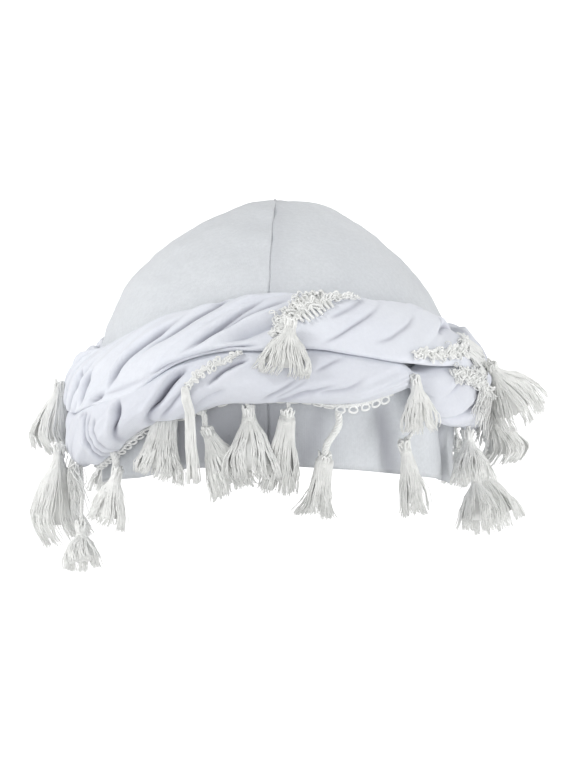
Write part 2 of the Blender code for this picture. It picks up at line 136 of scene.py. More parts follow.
KNOT = 2.6
KNOT_LENGTH = 7.0
TASSELS = table(
    "name head_angle head_drop tip_angle tip_drop out tip_out half_width half_depth root",
    ("front_knot", 5.0, 49, 3.0, 71, 26, 27, 12.0, 5.0),
    ("front_long", -16.5, 94, -17, 118, 19, 13, 3.6, 3.0, (-16.4, 76.5)),
    ("front_1", -25.5, 99, -28.5, 117, 7, 8, 9.5, 4.0),
    ("front_2", -12.5, 96, -9, 122, 9, 11, 8.5, 4.5),
    ("front_3", -4.5, 90, -3.5, 116, 9, 8, 10.0, 4.0),
    ("front_4", 3.5, 93, 4.5, 121, 11, 8, 6.5, 4.0),
    ("front_5", 13.5, 107, 12, 131, 8, 8, 9.5, 5.0),
    ("front_6", 35.5, 75, 36.5, 97, 16, 16, 9.5, 5.0),
    ("front_7", 35.5, 103, 39, 134, 8, 9, 6.5, 4.5),
    ("left_1", -42.5, 116, -46, 140, 9, 12, 9.5, 6.0),
    ("left_2", -60, 143, -57, 161, 12, 14, 8.5, 8.5),
    ("left_3", -80, 122, -84, 148, 14, 22, 9.0, 9.5),
    ("left_4", -93, 86, -95, 114, 19, 27, 7.5, 7.5),
    ("right_1", 68, 106, 66, 124, 8, 10, 8.0, 6.0),
    ("right_2", 78, 74, 86, 95, 20, 31, 10.0, 9.0),
    ("right_3", 89, 98, 90, 118, 20, 30, 9.0, 8.5),
    ("right_4", 84, 124, 80, 147, 11, 13, 8.5, 8.0),
    ("right_5", 98, 124, 97, 150, 12, 20, 9.0, 9.0),
    ("back_1", 118, 113, 118, 134, 10, 12, 8.5, 5.5),
    ("back_2", 139, 108, 139, 129, 9, 10, 8.5, 5.0),
    ("back_3", 163, 105, 162, 127, 9, 10, 8.5, 5.0),
    ("back_4", -171, 105, -172, 127, 9, 10, 8.5, 5.0),
    ("back_5", -147, 107, -146, 129, 9, 10, 8.5, 5.0),
    ("back_6", -120, 118, -119, 138, 9, 11, 8.5, 5.5),
    defaults=(None,),
)

# Creases in the roll's outer face, each from its upper right end to its lower left end. The cloth above and
# to the left of a crease sinks to it over the length above, and the cloth beyond it over the length below.
UPPER, LOWER, BOTH = 0, 1, 2
CREASES = table(
    "strand depth above below path",
    (
        UPPER, 4.2, 3.6, 0.8,
        (
            (-20, 46), (-24.6, 51.8), (-27.6, 55.2), (-31.3, 60), (-34, 64), (-36.2, 69), (-37.6, 75),
            (-39, 81),
        ),
    ),
    (
        UPPER, 2.6, 2.6, 0.9,
        (
            (-5, 37.5), (-10.5, 40), (-13.6, 42.6), (-18, 47.4), (-21, 51.4), (-24, 55), (-27, 58.2),
            (-31.5, 65),
        ),
    ),
    (UPPER, 2.2, 3.0, 0.8, ((0, 38), (-3.5, 40.7), (-6.5, 43.7), (-11, 50.4), (-14.5, 56), (-19.7, 65))),
    (UPPER, 3.6, 1.0, 7.0, ((8, 38.5), (1, 41.6), (-5, 46), (-8.5, 50.2), (-12.6, 55), (-17.3, 63.3))),
    (UPPER, 5.6, 7.0, 9.0, ((9, 43), (5, 46), (1.7, 48.5), (-4.4, 53.6), (-12, 60))),
    (UPPER, 0.9, 2.4, 1.4, ((26, 40), (20.2, 44), (17.4, 45.8), (13.5, 48.5))),
    (UPPER, 1.2, 2.6, 1.1, ((31, 41.5), (25.8, 45.7), (21.9, 48.8), (19, 51.4), (14.7, 55.9), (11, 59))),
    (UPPER, 1.1, 3.5, 2.0, ((41, 48), (34.6, 51.7), (30.9, 54.2), (28, 56.5), (23, 59))),
    (UPPER, 0.9, 2.0, 1.4, ((53, 50), (51.4, 53), (48, 57))),
    (BOTH, 3.2, 2.6, 0.9, ((0, 58.3), (-5, 59.4), (-10.5, 61.6), (-15.7, 64.3), (-21, 68.1), (-27, 73.5))),
    (BOTH, 1.0, 4.0, 2.0, ((-24, 72), (-30.6, 76.7), (-35, 79.5), (-41, 82.5))),
    (BOTH, 3.4, 3.0, 0.8, ((-39, 80), (-42, 84), (-46, 87.5), (-49, 90), (-51.3, 95))),
    (BOTH, 3.8, 3.5, 0.8, ((-48.5, 70), (-50.1, 76.3), (-50.7, 79.3), (-51.3, 84), (-52, 90))),
    (BOTH, 2.0, 3.0, 1.0, ((-57, 72), (-58, 80), (-58, 88))),
    (
        LOWER, 6.0, 3.2, 0.7,
        ((-10.5, 62.5), (-15.5, 65.7), (-18.3, 69.4), (-19.8, 73), (-22.6, 80.3), (-25.6, 88), (-31, 101)),
    ),
    (LOWER, 4.4, 4.0, 0.8, ((-33.5, 82), (-35, 88), (-35.6, 92.4), (-36.8, 97), (-39, 105))),
    (LOWER, 3.4, 2.5, 0.8, ((-47, 89), (-49, 93.6), (-49, 98), (-48.6, 103), (-47.5, 110), (-46, 118))),
    (LOWER, 1.8, 2.0, 0.8, ((-45, 90), (-46.6, 97), (-46, 104), (-44, 113))),
    (LOWER, 1.2, 1.6, 0.8, ((-42.5, 92), (-43.8, 99), (-42, 108))),
    (LOWER, 1.3, 2.5, 1.5, ((-15.5, 74), (-19.2, 82.4), (-21.1, 86.7), (-25, 93))),
    (LOWER, 2.2, 1.0, 4.0, ((-3, 64.5), (-5.7, 66.5), (-9.1, 70.6), (-12.5, 77))),
    (LOWER, 1.6, 4.0, 3.0, ((-8, 77), (-12.1, 81.3), (-17, 87.5))),
    (LOWER, 1.0, 2.4, 1.2, ((7, 72), (3.7, 76.6), (1.7, 79.2), (-1.5, 83))),
    (LOWER, 0.5, 1.2, 1.2, ((8.5, 73.5), (5, 78), (1.5, 82.5))),
    (LOWER, 0.7, 2.0, 1.3, ((9.5, 77.5), (5.8, 80.9), (1.5, 83))),
    (LOWER, 0.9, 2.2, 1.2, ((19, 63), (14.8, 65.4), (12.7, 67.3), (9.5, 70.5))),
    (LOWER, 1.7, 3.0, 2.5, ((21, 72.5), (17.4, 77.4), (14.1, 78.7), (10, 79.6))),
    (LOWER, 0.8, 2.2, 1.4, ((15, 75.5), (10.4, 78.1), (7.7, 79.2), (3.5, 82))),
)
MM_A_DEGREE, MM_A_DEGREE_OF_CAP = 1.95, 1.5  # along the roll's outer face and the cap's low part
ANY_PHASE = (0, 6.28)  # of a wave


# Numbers and meshes
def unit(v):
    return v / np.maximum(np.linalg.norm(v, axis=-1, keepdims=True), 1e-12)


def smoothstep(low, high, x):
    t = np.clip((x - low) / (high - low), 0.0, 1.0)
    return t * t * (3 - 2 * t)


def between(start, end, share):
    return start + (end - start) * share


def corners(count):
    return 2 * np.pi * np.arange(count) / count


def curve_through(values, at):
    """Values at whole steps, read at any place between them on a smooth curve."""
    values = np.asarray(values, float)
    last = len(values) - 1
    at = np.clip(at, 0, last)
    i = np.minimum(at.astype(int), last - 1)
    t = (at - i).reshape(at.shape + (1,) * (values.ndim - 1))
    p0, p1 = values[np.maximum(i - 1, 0)], values[i]
    p2, p3 = values[i + 1], values[np.minimum(i + 2, last)]
    a, b = 2 * p0 - 5 * p1 + 4 * p2 - p3, 3 * p1 - p0 - 3 * p2 + p3
    return 0.5 * (2 * p1 + (p2 - p0) * t + a * t**2 + b * t**3)


def resampled(values, count):
    """So many values at even steps along the smooth curve."""
    return curve_through(values, np.linspace(0, len(values) - 1, count))


def round_head(rows, column, angle, turn=0.0):
    """A column of a closed ring of rows at these angles, on a smooth curve. Turn is what a lap adds."""
    angles = np.array([r.angle for r in rows], float)
    values = np.array([getattr(r, column) for r in rows], float)
    count = len(rows) - 1
    i = np.clip(np.searchsorted(angles, angle, side="right") - 1, 0, count - 1)

    def knot(k):
        lap, row = np.divmod(k, count)
        return angles[row] + 360 * lap, values[row] + turn * lap

    (a0, v0), (a1, v1), (a2, v2), (a3, v3) = (knot(i + k) for k in (-1, 0, 1, 2))
    s = (angle - a1) / (a2 - a1)
    slope1 = (v2 - v0) / (a2 - a0) * (a2 - a1)
    slope2 = (v3 - v1) / (a3 - a1) * (a2 - a1)
    ends = (2 * s**3 - 3 * s**2 + 1) * v1 + (3 * s**2 - 2 * s**3) * v2
    return ends + (s**3 - 2 * s**2 + s) * slope1 + (s**3 - s**2) * slope2


def phase_at(angle):
    return np.radians(round_head(ROLL, "phase", angle, ROLL[-1].phase - ROLL[0].phase))


SECTIONS = resampled(CAP_SECTIONS, 401)


def outward(angle):
    a = np.radians(np.asarray(angle, float))
    return np.stack([np.sin(a), -np.cos(a), np.zeros_like(a)], -1)


def widths_at(angle, left, right, front, back):
    s, c = np.sin(np.radians(angle)), np.cos(np.radians(angle))
    width = np.maximum(np.where(s >= 0, right, left), 1e-6)
    depth = np.maximum(np.where(c >= 0, front, back), 1e-6)
    reach = (np.abs(s) / width) ** ROUNDNESS + (np.abs(c) / depth) ** ROUNDNESS
    return reach ** (-1 / ROUNDNESS)


def cap_radius(angle, drop):
    sides = [np.interp(drop, SECTIONS[:, 0], SECTIONS[:, k]) for k in range(1, 5)]
    return widths_at(angle, *sides)


def place(angle, drop, out):
    """Points round the head, in metres."""
    angle, drop, out = np.broadcast_arrays(*(np.asarray(v, float) for v in (angle, drop, out)))
    points = outward(angle) * (cap_radius(angle, drop) + out)[..., None]
    points[..., 2] = CLOTH - drop
    return points * MM


def grid_quads(rows, columns, wrap_rows=False, wrap_columns=False):
    r = np.arange(rows if wrap_rows else rows - 1)[:, None]
    c = np.arange(columns if wrap_columns else columns - 1)[None, :]
    r2, c2 = (r + 1) % rows, (c + 1) % columns
    four = [r * columns + c, r2 * columns + c, r2 * columns + c2, r * columns + c2]
    return np.stack(np.broadcast_arrays(*four), -1).reshape(-1, 4)


def tubes(paths, radius, sides_up, sides=4, closed=False):
    """Round threads along paths of shape (threads, points, 3), with their ends closed."""
    ahead, behind = np.roll(paths, -1, 1), np.roll(paths, 1, 1)
    if not closed:
        ahead[:, -1], behind[:, 0] = paths[:, -1], paths[:, 0]
    along = unit(ahead - behind)
    side = unit(np.cross(along, np.broadcast_to(sides_up, paths.shape)))
    up = np.cross(side, along)
    turn = corners(sides)
    ring = side[..., None, :] * np.cos(turn)[:, None] + up[..., None, :] * np.sin(turn)[:, None]
    radius = np.broadcast_to(radius, paths.shape[:2])[..., None, None]
    points = paths[..., None, :] + ring * radius
    count, length = paths.shape[:2]
    quads = grid_quads(length, sides, wrap_rows=closed, wrap_columns=True)
    if not closed:
        start, end = np.arange(sides), (length - 1) * sides + np.arange(sides)
        for k in range(1, sides - 2, 2):
            quads = np.vstack([quads, start[[0, k, k + 1, k + 2]], end[[0, k + 2, k + 1, k]]])
    quads = (quads[None] + np.arange(count)[:, None, None] * length * sides).reshape(-1, 4)
    return points.reshape(-1, 3), quads


def joined(parts):
    """Several (points, quads) as one."""
    start, points, quads = 0, [], []
    for part_points, part_quads in parts:
        points.append(part_points)
        quads.append(part_quads + start)
        start += len(part_points)
    return np.vstack(points), np.vstack(quads)


def facing_out(points, quads):
    a, b, c, d = (points[quads[:, k]] for k in range(4))
    volume = (np.cross(b - a, d - a) * a).sum() + (np.cross(d - c, b - c) * c).sum()
    return quads if volume > 0 else quads[:, ::-1]


def shown(name, data):
    obj = bpy.data.objects.new(name, data)
    bpy.context.scene.collection.objects.link(obj)
    return obj


def aimed(name, data, spot, direction):
    obj = shown(name, data)
    obj.location = spot
    obj.rotation_mode = "QUATERNION"
    obj.rotation_quaternion = direction.to_track_quat("-Z", "Y")
    return obj


def set_field(mesh, field, values):
    layer = mesh.attributes.new(field, "FLOAT", "POINT")
    layer.data.foreach_set("value", np.asarray(values, np.float32).ravel())


def mesh_piece(name, points, quads, material, slot, nodes, uv=None, **fields):
    mesh = bpy.data.meshes.new(name)
    mesh.vertices.add(len(points))
    mesh.vertices.foreach_set("co", np.asarray(points, np.float32).ravel())
    mesh.loops.add(quads.size)
    mesh.loops.foreach_set("vertex_index", quads.astype(np.int32).ravel())
    mesh.polygons.add(len(quads))
    mesh.polygons.foreach_set("loop_start", np.arange(0, quads.size, 4, dtype=np.int32))
    mesh.update(calc_edges=True)
    mesh.validate()
    mesh.shade_smooth()
    if uv is not None:
        layer = mesh.uv_layers.new(name="cloth")
        layer.data.foreach_set("uv", np.asarray(uv, np.float32).ravel())
    for field, values in fields.items():
        set_field(mesh, field, values)
    mesh.materials.append(material)
    obj = shown(name, mesh)
    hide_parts(*nodes)
    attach(obj, "root")
    return obj


def tree_of(points, quads):
    return BVHTree.FromPolygons([tuple(p) for p in points], [tuple(q) for q in quads])


def node_tree(node):
    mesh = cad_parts[node].data
    return BVHTree.FromPolygons([v.co for v in mesh.vertices], [tuple(p.vertices) for p in mesh.polygons])


# Materials
class Nodes:
    """A material's node tree, built one node at a time."""

    def __init__(self, name):
        self.material = bpy.data.materials.new(name)
        self.material.use_nodes = True
        self.tree = self.material.node_tree
        self.shader = self.tree.nodes["Principled BSDF"]

    def add(self, kind, inputs=(), **settings):
        node = self.tree.nodes.new(kind)
        for key, value in settings.items():
            setattr(node, key, value)
        for key, value in dict(inputs).items():
            if isinstance(value, bpy.types.NodeSocket):
                self.tree.links.new(value, node.inputs[key])
            else:
                node.inputs[key].default_value = value
        return node

    def math(self, operation, a, b=0.0):
        return self.add("ShaderNodeMath", {0: a, 1: b}, operation=operation).outputs[0]

    def times(self, a, b):
        return self.math("MULTIPLY", a, b)

    def plus(self, a, b):
        return self.math("ADD", a, b)

    def where(self):
        return self.add("ShaderNodeTexCoord").outputs["Object"]

    def field(self, name):
        return self.add("ShaderNodeAttribute", attribute_name=name).outputs["Fac"]

    def drive(self, socket, value):
        self.tree.links.new(value, self.shader.inputs[socket])

    def mix(self, factor, a, b):
        node = self.add("ShaderNodeMix", {"Factor": factor}, data_type="RGBA")
        for socket, value in ((node.inputs[6], a), (node.inputs[7], b)):
            if isinstance(value, bpy.types.NodeSocket):
                self.tree.links.new(value, socket)
            else:
                socket.default_value = (*value, 1.0)
        return node.outputs[2]

    def noise(self, coordinates, scale, detail=2.0, roughness=0.5):
        inputs = {"Vector": coordinates, "Scale": scale, "Detail": detail, "Roughness": roughness}
        return self.add("ShaderNodeTexNoise", inputs).outputs["Fac"]

    def spread(self, value, low, high, to_low=0.0, to_high=1.0):
        names = ("Value", "From Min", "From Max", "To Min", "To Max")
        inputs = dict(zip(names, (value, low, high, to_low, to_high)))
        return self.add("ShaderNodeMapRange", inputs).outputs[0]

    def bump(self, height, strength, distance, normal=None):
        inputs = {"Height": height, "Strength": strength, "Distance": distance}
        if normal is not None:
            inputs["Normal"] = normal
        return self.add("ShaderNodeBump", inputs).outputs[0]

    def finished(self, roughness, specular, sheen, sheen_roughness):
        names = ("Roughness", "Specular IOR Level", "Sheen Weight", "Sheen Roughness")
        for name, value in zip(names, (roughness, specular, sheen, sheen_roughness)):
            self.shader.inputs[name].default_value = value
        return self.material


WALE, COURSE = 0.9, 0.66  # how far apart the knit's columns and rows of stitches are, mm


def jersey(name, light, shade, deep, grain):
    """Knitted cloth, darker by grain in its speckles, with painted shade deep in its creases."""
    n = Nodes(name)
    where = n.where()
    uv = n.add("ShaderNodeSeparateXYZ", {0: n.add("ShaderNodeUVMap", uv_map="cloth").outputs[0]})
    column = n.math("PINGPONG", n.times(uv.outputs[0], 1 / WALE), 0.5)
    row = n.plus(n.times(uv.outputs[1], 1 / COURSE), n.times(column, 1.5))
    stitch = n.math("SINE", n.times(row, 2 * math.pi))
    stitch = n.plus(n.times(stitch, 0.35), n.times(column, 1.3))
    fuzz = n.noise(where, 1400.0, 3.0, 0.65)
    cloud = n.noise(where, 24.0, 4.0, 0.6)
    speckle = n.noise(where, 620.0, 3.0, 0.7)
    tint = n.mix(n.spread(cloud, 0.35, 0.68), shade, light)
    mottle = n.spread(speckle, 0.36, 0.64, 0.0, grain)
    colour = n.mix(mottle, tint, tuple(c * 0.88 for c in shade))
    # Painted shade: the colour turns to the deep one where the mesh's painted shade field is high, in creases
    # and folds
    n.drive("Base Color", n.mix(n.field("hollow"), colour, deep))
    normal = n.bump(n.noise(where, 180.0, 4.0, 0.6), 0.25, 0.0006)
    normal = n.bump(n.plus(stitch, n.times(fuzz, 1.6)), 0.35, 0.00016, normal)
    n.drive("Normal", normal)
    return n.finished(roughness=0.88, specular=0.25, sheen=0.3, sheen_roughness=0.45)


def thread(name, light, shade, sheen):
    n = Nodes(name)
    where = n.where()
    tone = n.field("tone")
    blotch = n.noise(where, 260.0, 3.0, 0.6)
    # Tone is random per thread, and lower as painted shade on the front tassels, the tassel cores and the
    # bead loops
    mixed = n.plus(n.times(tone, 0.65), n.times(blotch, 0.45))
    n.drive("Base Color", n.mix(n.spread(mixed, 0.1, 0.95), shade, light))
    n.drive("Normal", n.bump(n.noise(where, 2600.0, 3.0, 0.7), 0.4, 0.00012))
    return n.finished(roughness=0.6, specular=0.4, sheen=sheen, sheen_roughness=0.4)


# Each cloth's third colour is its painted shade, for creases and folds
CAP_LIGHT, CAP_SHADE, CAP_PAINTED_SHADE = (0.735, 0.76, 0.785), (0.69, 0.715, 0.745), (0.45, 0.46, 0.5)
CAP_CLOTH = jersey("cap_jersey_cloth", CAP_LIGHT, CAP_SHADE, CAP_PAINTED_SHADE, grain=0.5)
WRAP_LIGHT, WRAP_SHADE, WRAP_PAINTED_SHADE = (0.815, 0.838, 0.89), (0.78, 0.803, 0.868), (0.30, 0.305, 0.37)
WRAP_CLOTH = jersey("wrap_jersey_cloth", WRAP_LIGHT, WRAP_SHADE, WRAP_PAINTED_SHADE, grain=0.2)
BRAID_THREAD = thread("braid_thread", (0.95, 0.955, 0.94), (0.76, 0.77, 0.76), sheen=0.3)
TASSEL_YARN = thread("tassel_yarn", (0.97, 0.975, 0.955), (0.58, 0.59, 0.575), sheen=0.45)


# Cap
CAP_ROWS, CAP_COLUMNS = 96, 96
HEAD_MIDDLE = np.array((0.0, 0.0, -60.0))
# Tint is painted shade: in the folds' valleys, in a hanging thread's shadow and under the roll's front. Below
# nought it is painted light, which takes back the shade of a fold beside it.
CAP_FOLDS = table(
    "top_angle top_drop low_angle low_drop wide lift tint",
    (31.5, 90.0, 37.0, 126.0, 4.5, -2.6, 0.95),
    (47.0, 92.0, 53.0, 134.0, 9.0, 2.0, -0.5),
    (62.0, 96.0, 71.0, 138.0, 3.5, -2.4, 0.7),
    (13.5, 88.0, 8.0, 118.0, 3.6, -0.6, 0.5),
    (-10.0, 86.0, -13.0, 122.0, 32.0, 0.0, 0.72),
)


def cap_folds(angle, drop):
    """What the soft folds below the roll add to the cap's height, mm, and to its painted shade."""
    lift, tint = np.zeros_like(drop), np.zeros_like(drop)
    for fold in CAP_FOLDS:
        along = (drop - fold.top_drop) / (fold.low_drop - fold.top_drop)
        centre = between(fold.top_angle, fold.low_angle, np.clip(along, 0, 1))
        near = np.exp(-(((angle - centre) * MM_A_DEGREE_OF_CAP / fold.wide) ** 2))
        near = near * smoothstep(-0.3, 0.15, along) * (1 - 0.6 * smoothstep(0.6, 1.0, along))
        lift += fold.lift * near
        tint += fold.tint * near
    return lift, tint


SEAM_EDGE = 0.02  # mm from the cap's middle to each panel


def cap_panel(name, side, node):
    """One half of the cap, from the seam at the front to the seam at the back, and its area, mm2."""
    bend = (1 - np.cos(np.linspace(0, np.pi, CAP_COLUMNS))) / 2
    angle = side * 180.0 * between(np.linspace(0, 1, CAP_COLUMNS), bend, 0.6)[None, :]
    share = np.linspace(0.0, 1.0, CAP_ROWS) ** 0.9
    section = curve_through(CAP_SECTIONS, share * (len(CAP_SECTIONS) - 1))
    radius = widths_at(angle, *(section[:, k, None] for k in range(1, 5)))
    hem = np.interp(angle, [r.angle for r in HEM], [r.drop for r in HEM])
    drop = section[:, 0, None] + np.zeros_like(angle)
    low = smoothstep(CAP_SECTIONS[-2].drop, CAP_SECTIONS[-1].drop, drop)
    drop = drop + (hem - CAP_SECTIONS[-1].drop) * low
    points = outward(angle) * radius[..., None]
    points[..., 2] = CLOTH - drop
    points[..., 0] = side * np.maximum(np.abs(points[..., 0]), SEAM_EDGE)
    points[0, :, 1] = -0.5 * np.cos(np.radians(angle[0]))
    normal = unit(np.cross(np.gradient(points, axis=1), np.gradient(points, axis=0)))
    normal[0] = (0, 0, 1)
    normal *= np.sign((normal * (points - HEAD_MIDDLE)).sum(-1))[..., None]
    beside = np.abs(points[..., 0]) - SEAM_EDGE
    lift = (0.1 if side < 0 else 0.0) * np.exp(-((beside / 1.3) ** 2))
    lift *= smoothstep(1.0, 12.0, drop)
    fold_lift, fold_painted_shade = cap_folds(angle, drop)
    lift += fold_lift
    lift += 0.35 * np.sin(points[..., 0] / 17 + points[..., 2] / 23) * np.sin(points[..., 2] / 14 + side)
    lift += soft_bumps(points, ((0.35, 21.0), (0.12, 8.0)))
    lift -= 0.5 * np.exp(-(((hem - drop) / 1.2) ** 2))
    points = points + normal * lift[..., None]
    flat = points.reshape(-1, 3)
    quads = grid_quads(CAP_ROWS, CAP_COLUMNS)
    arc = np.cumsum(np.linalg.norm(np.diff(points[:, CAP_COLUMNS // 2], axis=0, prepend=0), axis=-1))
    u, v = np.broadcast_arrays(angle * MM_A_DEGREE_OF_CAP, arc[:, None])
    a, b, c = (flat[quads[:, k]] for k in range(3))
    if (np.cross(b - a, c - a) * (a - HEAD_MIDDLE)).sum() <= 0:
        quads = quads[:, ::-1]
    uv = np.stack([u, v], -1).reshape(-1, 2)[quads]
    # Painted shade: the right panel is darker beside the seam, on top of the folds' painted shade
    line = (0.24 * np.exp(-((beside / 7.0) ** 2)) if side > 0 else 0.0) + fold_painted_shade
    obj = mesh_piece(name, flat * MM, quads, CAP_CLOTH, "cap_jersey", [node], uv=uv, hollow=line)
    wall = obj.modifiers.new("cloth", "SOLIDIFY")
    wall.thickness = CLOTH * MM * 0.9
    wall.offset = -1.0
    a, b, c, d = (flat[quads[:, k]] for k in range(4))
    return obj, 0.5 * np.linalg.norm(np.cross(c - a, d - b), axis=-1).sum()


def soft_bumps(points, waves):
    """Gentle unevenness in mm. Waves are (height, length) in mm."""
    total = np.zeros(points.shape[:-1])
    for height, length in waves:
        for _ in range(5):
            direction = unit(RNG.normal(size=3))
            total += height / 2 * np.sin(points @ direction * 2 * np.pi / length + RNG.uniform(*ANY_PHASE))
    return total


# Roll
STATIONS, AROUND = 660, 120
KNIT_MM_A_RADIAN, FOLD_MM_A_RADIAN = 13.0, 12.0  # round a strand
CLOSER = 0.4  # how much closer together a strand's points are on its outer face
# How square a strand's cut is beside the other strand, where the two run together, and away from the other
FACING_SQUARE, MERGED_SQUARE, FREE_SQUARE = 5.0, 16.0, 2.2
OVERHANG = 0.16  # how far the upper strand rolls down over the lower one at the front
LOWER_SHADE = 0.12  # how much painted shade the whole lower strand has, as a share of the creases' deep colour
CREASE_REACH = 22.0  # mm from a crease, past which it does nothing


def strand_section(which, angle, turn):
    """A strand's cut in the roll's own measures, across and up from -1 to 1, and its place in the strand."""
    phase = phase_at(angle) + math.pi * which
    pinch = np.maximum(0.0, round_head(ROLL, "pinch", angle)) * which
    size = 1 - PINCH_SHARE * pinch
    c, s = np.cos(turn), np.sin(turn)
    merged = smoothstep(-25, -31, angle) * smoothstep(-60, -52, angle)
    power = np.where(c < 0, between(FACING_SQUARE, MERGED_SQUARE, merged), FREE_SQUARE)
    reach = (np.abs(c) ** power + np.abs(s) ** power) ** (-1 / power)
    away = 0.5 + 0.5 * c * reach * size
    beside = s * reach * size
    across = np.cos(phase) * away - np.sin(phase) * beside - PINCH_TUCK * pinch
    up = np.sin(phase) * away + np.cos(phase) * beside
    return across, up, c * reach


def roll_point(angle, across, up):
    """The drop and the out of a point in the roll's own measures."""
    top, split, bottom, out = (round_head(ROLL, c, angle) for c in ("top", "split", "bottom", "out"))
    across, up = np.maximum(-1.0, across), np.clip(up, -1.0, 1.0)
    reach = np.where(up > 0, split - top, bottom - split)
    front = np.clip(np.sin(phase_at(angle)), 0, 1)
    tuck = OVERHANG * front * (1 - np.abs(up)) * (across + 0.2) * reach
    drop = split - up * reach + tuck
    lean = between(0.28, 0.62, smoothstep(12, -12, angle) * smoothstep(-75, -45, angle)) * front
    out = out * (1 - lean * np.clip(up, 0, 1) ** 1.7)
    return drop + 2.2 * front * np.clip(up, 0, 1), ROLL_REST + (across + 1) / 2 * (out - ROLL_REST)


def crease_depth(which, angle, drop):
    """How far the listed creases press into the outer face, mm, and the painted shade along them."""
    x, y = angle * MM_A_DEGREE, drop
    total, painted_crease_shade = np.zeros_like(x), np.zeros_like(x)
    for crease in CREASES:
        if crease.strand not in (which, BOTH):
            continue
        path = resampled(crease.path, 10 * len(crease.path))
        px, py = path[:, 0] * MM_A_DEGREE, path[:, 1]
        beyond_x = np.maximum(px.min() - x, x - px.max())
        near = np.maximum(beyond_x, np.maximum(py.min() - y, y - py.max())) < CREASE_REACH
        xs, ys = x[near], y[near]
        best = np.full(xs.shape, 1e9)
        signed, along = np.zeros(xs.shape), np.zeros(xs.shape)
        for k in range(len(px) - 1):
            dx, dy = px[k + 1] - px[k], py[k + 1] - py[k]
            long = math.hypot(dx, dy)
            t = np.clip(((xs - px[k]) * dx + (ys - py[k]) * dy) / long**2, 0, 1)
            ox, oy = xs - px[k] - t * dx, ys - py[k] - t * dy
            gap = np.hypot(ox, oy)
            closer = gap < best
            best = np.where(closer, gap, best)
            signed = np.where(closer, np.sign(ox * dy - oy * dx) * gap, signed)
            along = np.where(closer, (k + t) / (len(px) - 1), along)
        fade = smoothstep(0.0, 0.3, along) * smoothstep(1.0, 0.75, along)
        press, line = crease_cut(best, signed > 0, crease.depth, crease.above, crease.below)
        total[near] += fade * press
        painted_crease_shade[near] = np.maximum(painted_crease_shade[near], fade * line)
    return total, painted_crease_shade


def crease_cut(gap, above, depth, reach_above, reach_below):
    """How deep the cloth is pressed in at this distance from a crease, and how much painted shade it has
    there.
    """
    length = np.where(above, reach_above, reach_below)
    crisp = np.minimum(reach_above, reach_below)
    rounded = np.sqrt(gap**2 + 0.06 * crisp) - np.sqrt(0.06 * crisp)
    tight = np.minimum(length, between(0.7, 1.4, smoothstep(1.0, 4.0, depth)))
    rolled = 0.6 * np.exp(-rounded / tight) + 0.4 * np.exp(-rounded / length)
    shoulder = np.where(length < 2, 0.35, 0.1) * np.exp(-(((gap - 2.2 * length) / (1.5 * length + 1.0)) ** 2))
    strength = np.clip(0.25 + depth / 4.5, 0.0, 1.0)
    wide = np.where(length > reach_above + reach_below - length, 1.0, 0.55)
    # Painted shade: a thin dark line down a crisp crease, and a soft haze of shade beside it
    line = np.exp(-((gap / wide) ** 2)) * smoothstep(3.5, 1.2, crisp)
    painted_haze = 0.2 * np.exp(-gap / between(1.6, 4.5, smoothstep(5.5, 8.5, length))) * (length > 1.2)
    return depth * (rolled - shoulder), np.clip((0.9 * line + painted_haze) * strength, 0, 1)


def twist_folds(which, angle, own):
    """The folds that follow the twist round the hidden stretches: their depth, mm, and the painted shade
    along them.
    """
    total = np.zeros_like(own + angle)
    painted_crease_shade = np.zeros_like(total)
    lines = np.random.default_rng(20 + which)
    a = np.radians(angle)
    for k in range(6):
        middle = 2 * np.pi * (k + lines.uniform(-0.3, 0.3)) / 6
        sway = lines.uniform(0.1, 0.32)
        centre = middle + sway * np.sin(lines.integers(1, 5) * a + lines.uniform(*ANY_PHASE))
        strength = 0.55 + 0.45 * np.sin(lines.integers(1, 6) * a + lines.uniform(*ANY_PHASE))
        gap = ((own - centre + np.pi) % (2 * np.pi) - np.pi) * FOLD_MM_A_RADIAN
        soft, steep = lines.uniform(3.0, 5.5), lines.uniform(0.7, 1.1)
        press, line = crease_cut(np.abs(gap), gap < 0, lines.uniform(3.2, 5.6), soft, steep)
        total += press * strength
        painted_crease_shade = np.maximum(painted_crease_shade, line * strength)
    return total, painted_crease_shade


def fine_wrinkles(which, angle, own):
    waves = np.random.default_rng(40 + which)
    a = np.radians(angle)
    total = np.zeros_like(own + angle)
    for _ in range(16):
        lines = waves.integers(4, 15)
        drift = 0.8 * np.sin(waves.integers(1, 7) * a + waves.uniform(*ANY_PHASE))
        strength = 0.5 + 0.5 * np.sin(waves.integers(2, 17) * a + waves.uniform(*ANY_PHASE))
        total += 0.9 / lines * strength * np.sin(lines * own + drift * 2 + waves.uniform(*ANY_PHASE))
    return total


def station_angles():
    """Angles round the head, closest together where the creases are."""
    grid = np.linspace(-180, 180, 2001)
    close = 1 + 2.4 * smoothstep(-72, -62, grid) * smoothstep(66, 56, grid)
    run = np.concatenate([[0], np.cumsum((close[1:] + close[:-1]) / 2)])
    return np.interp(np.linspace(0, 1, STATIONS + 1), run / run[-1], grid)


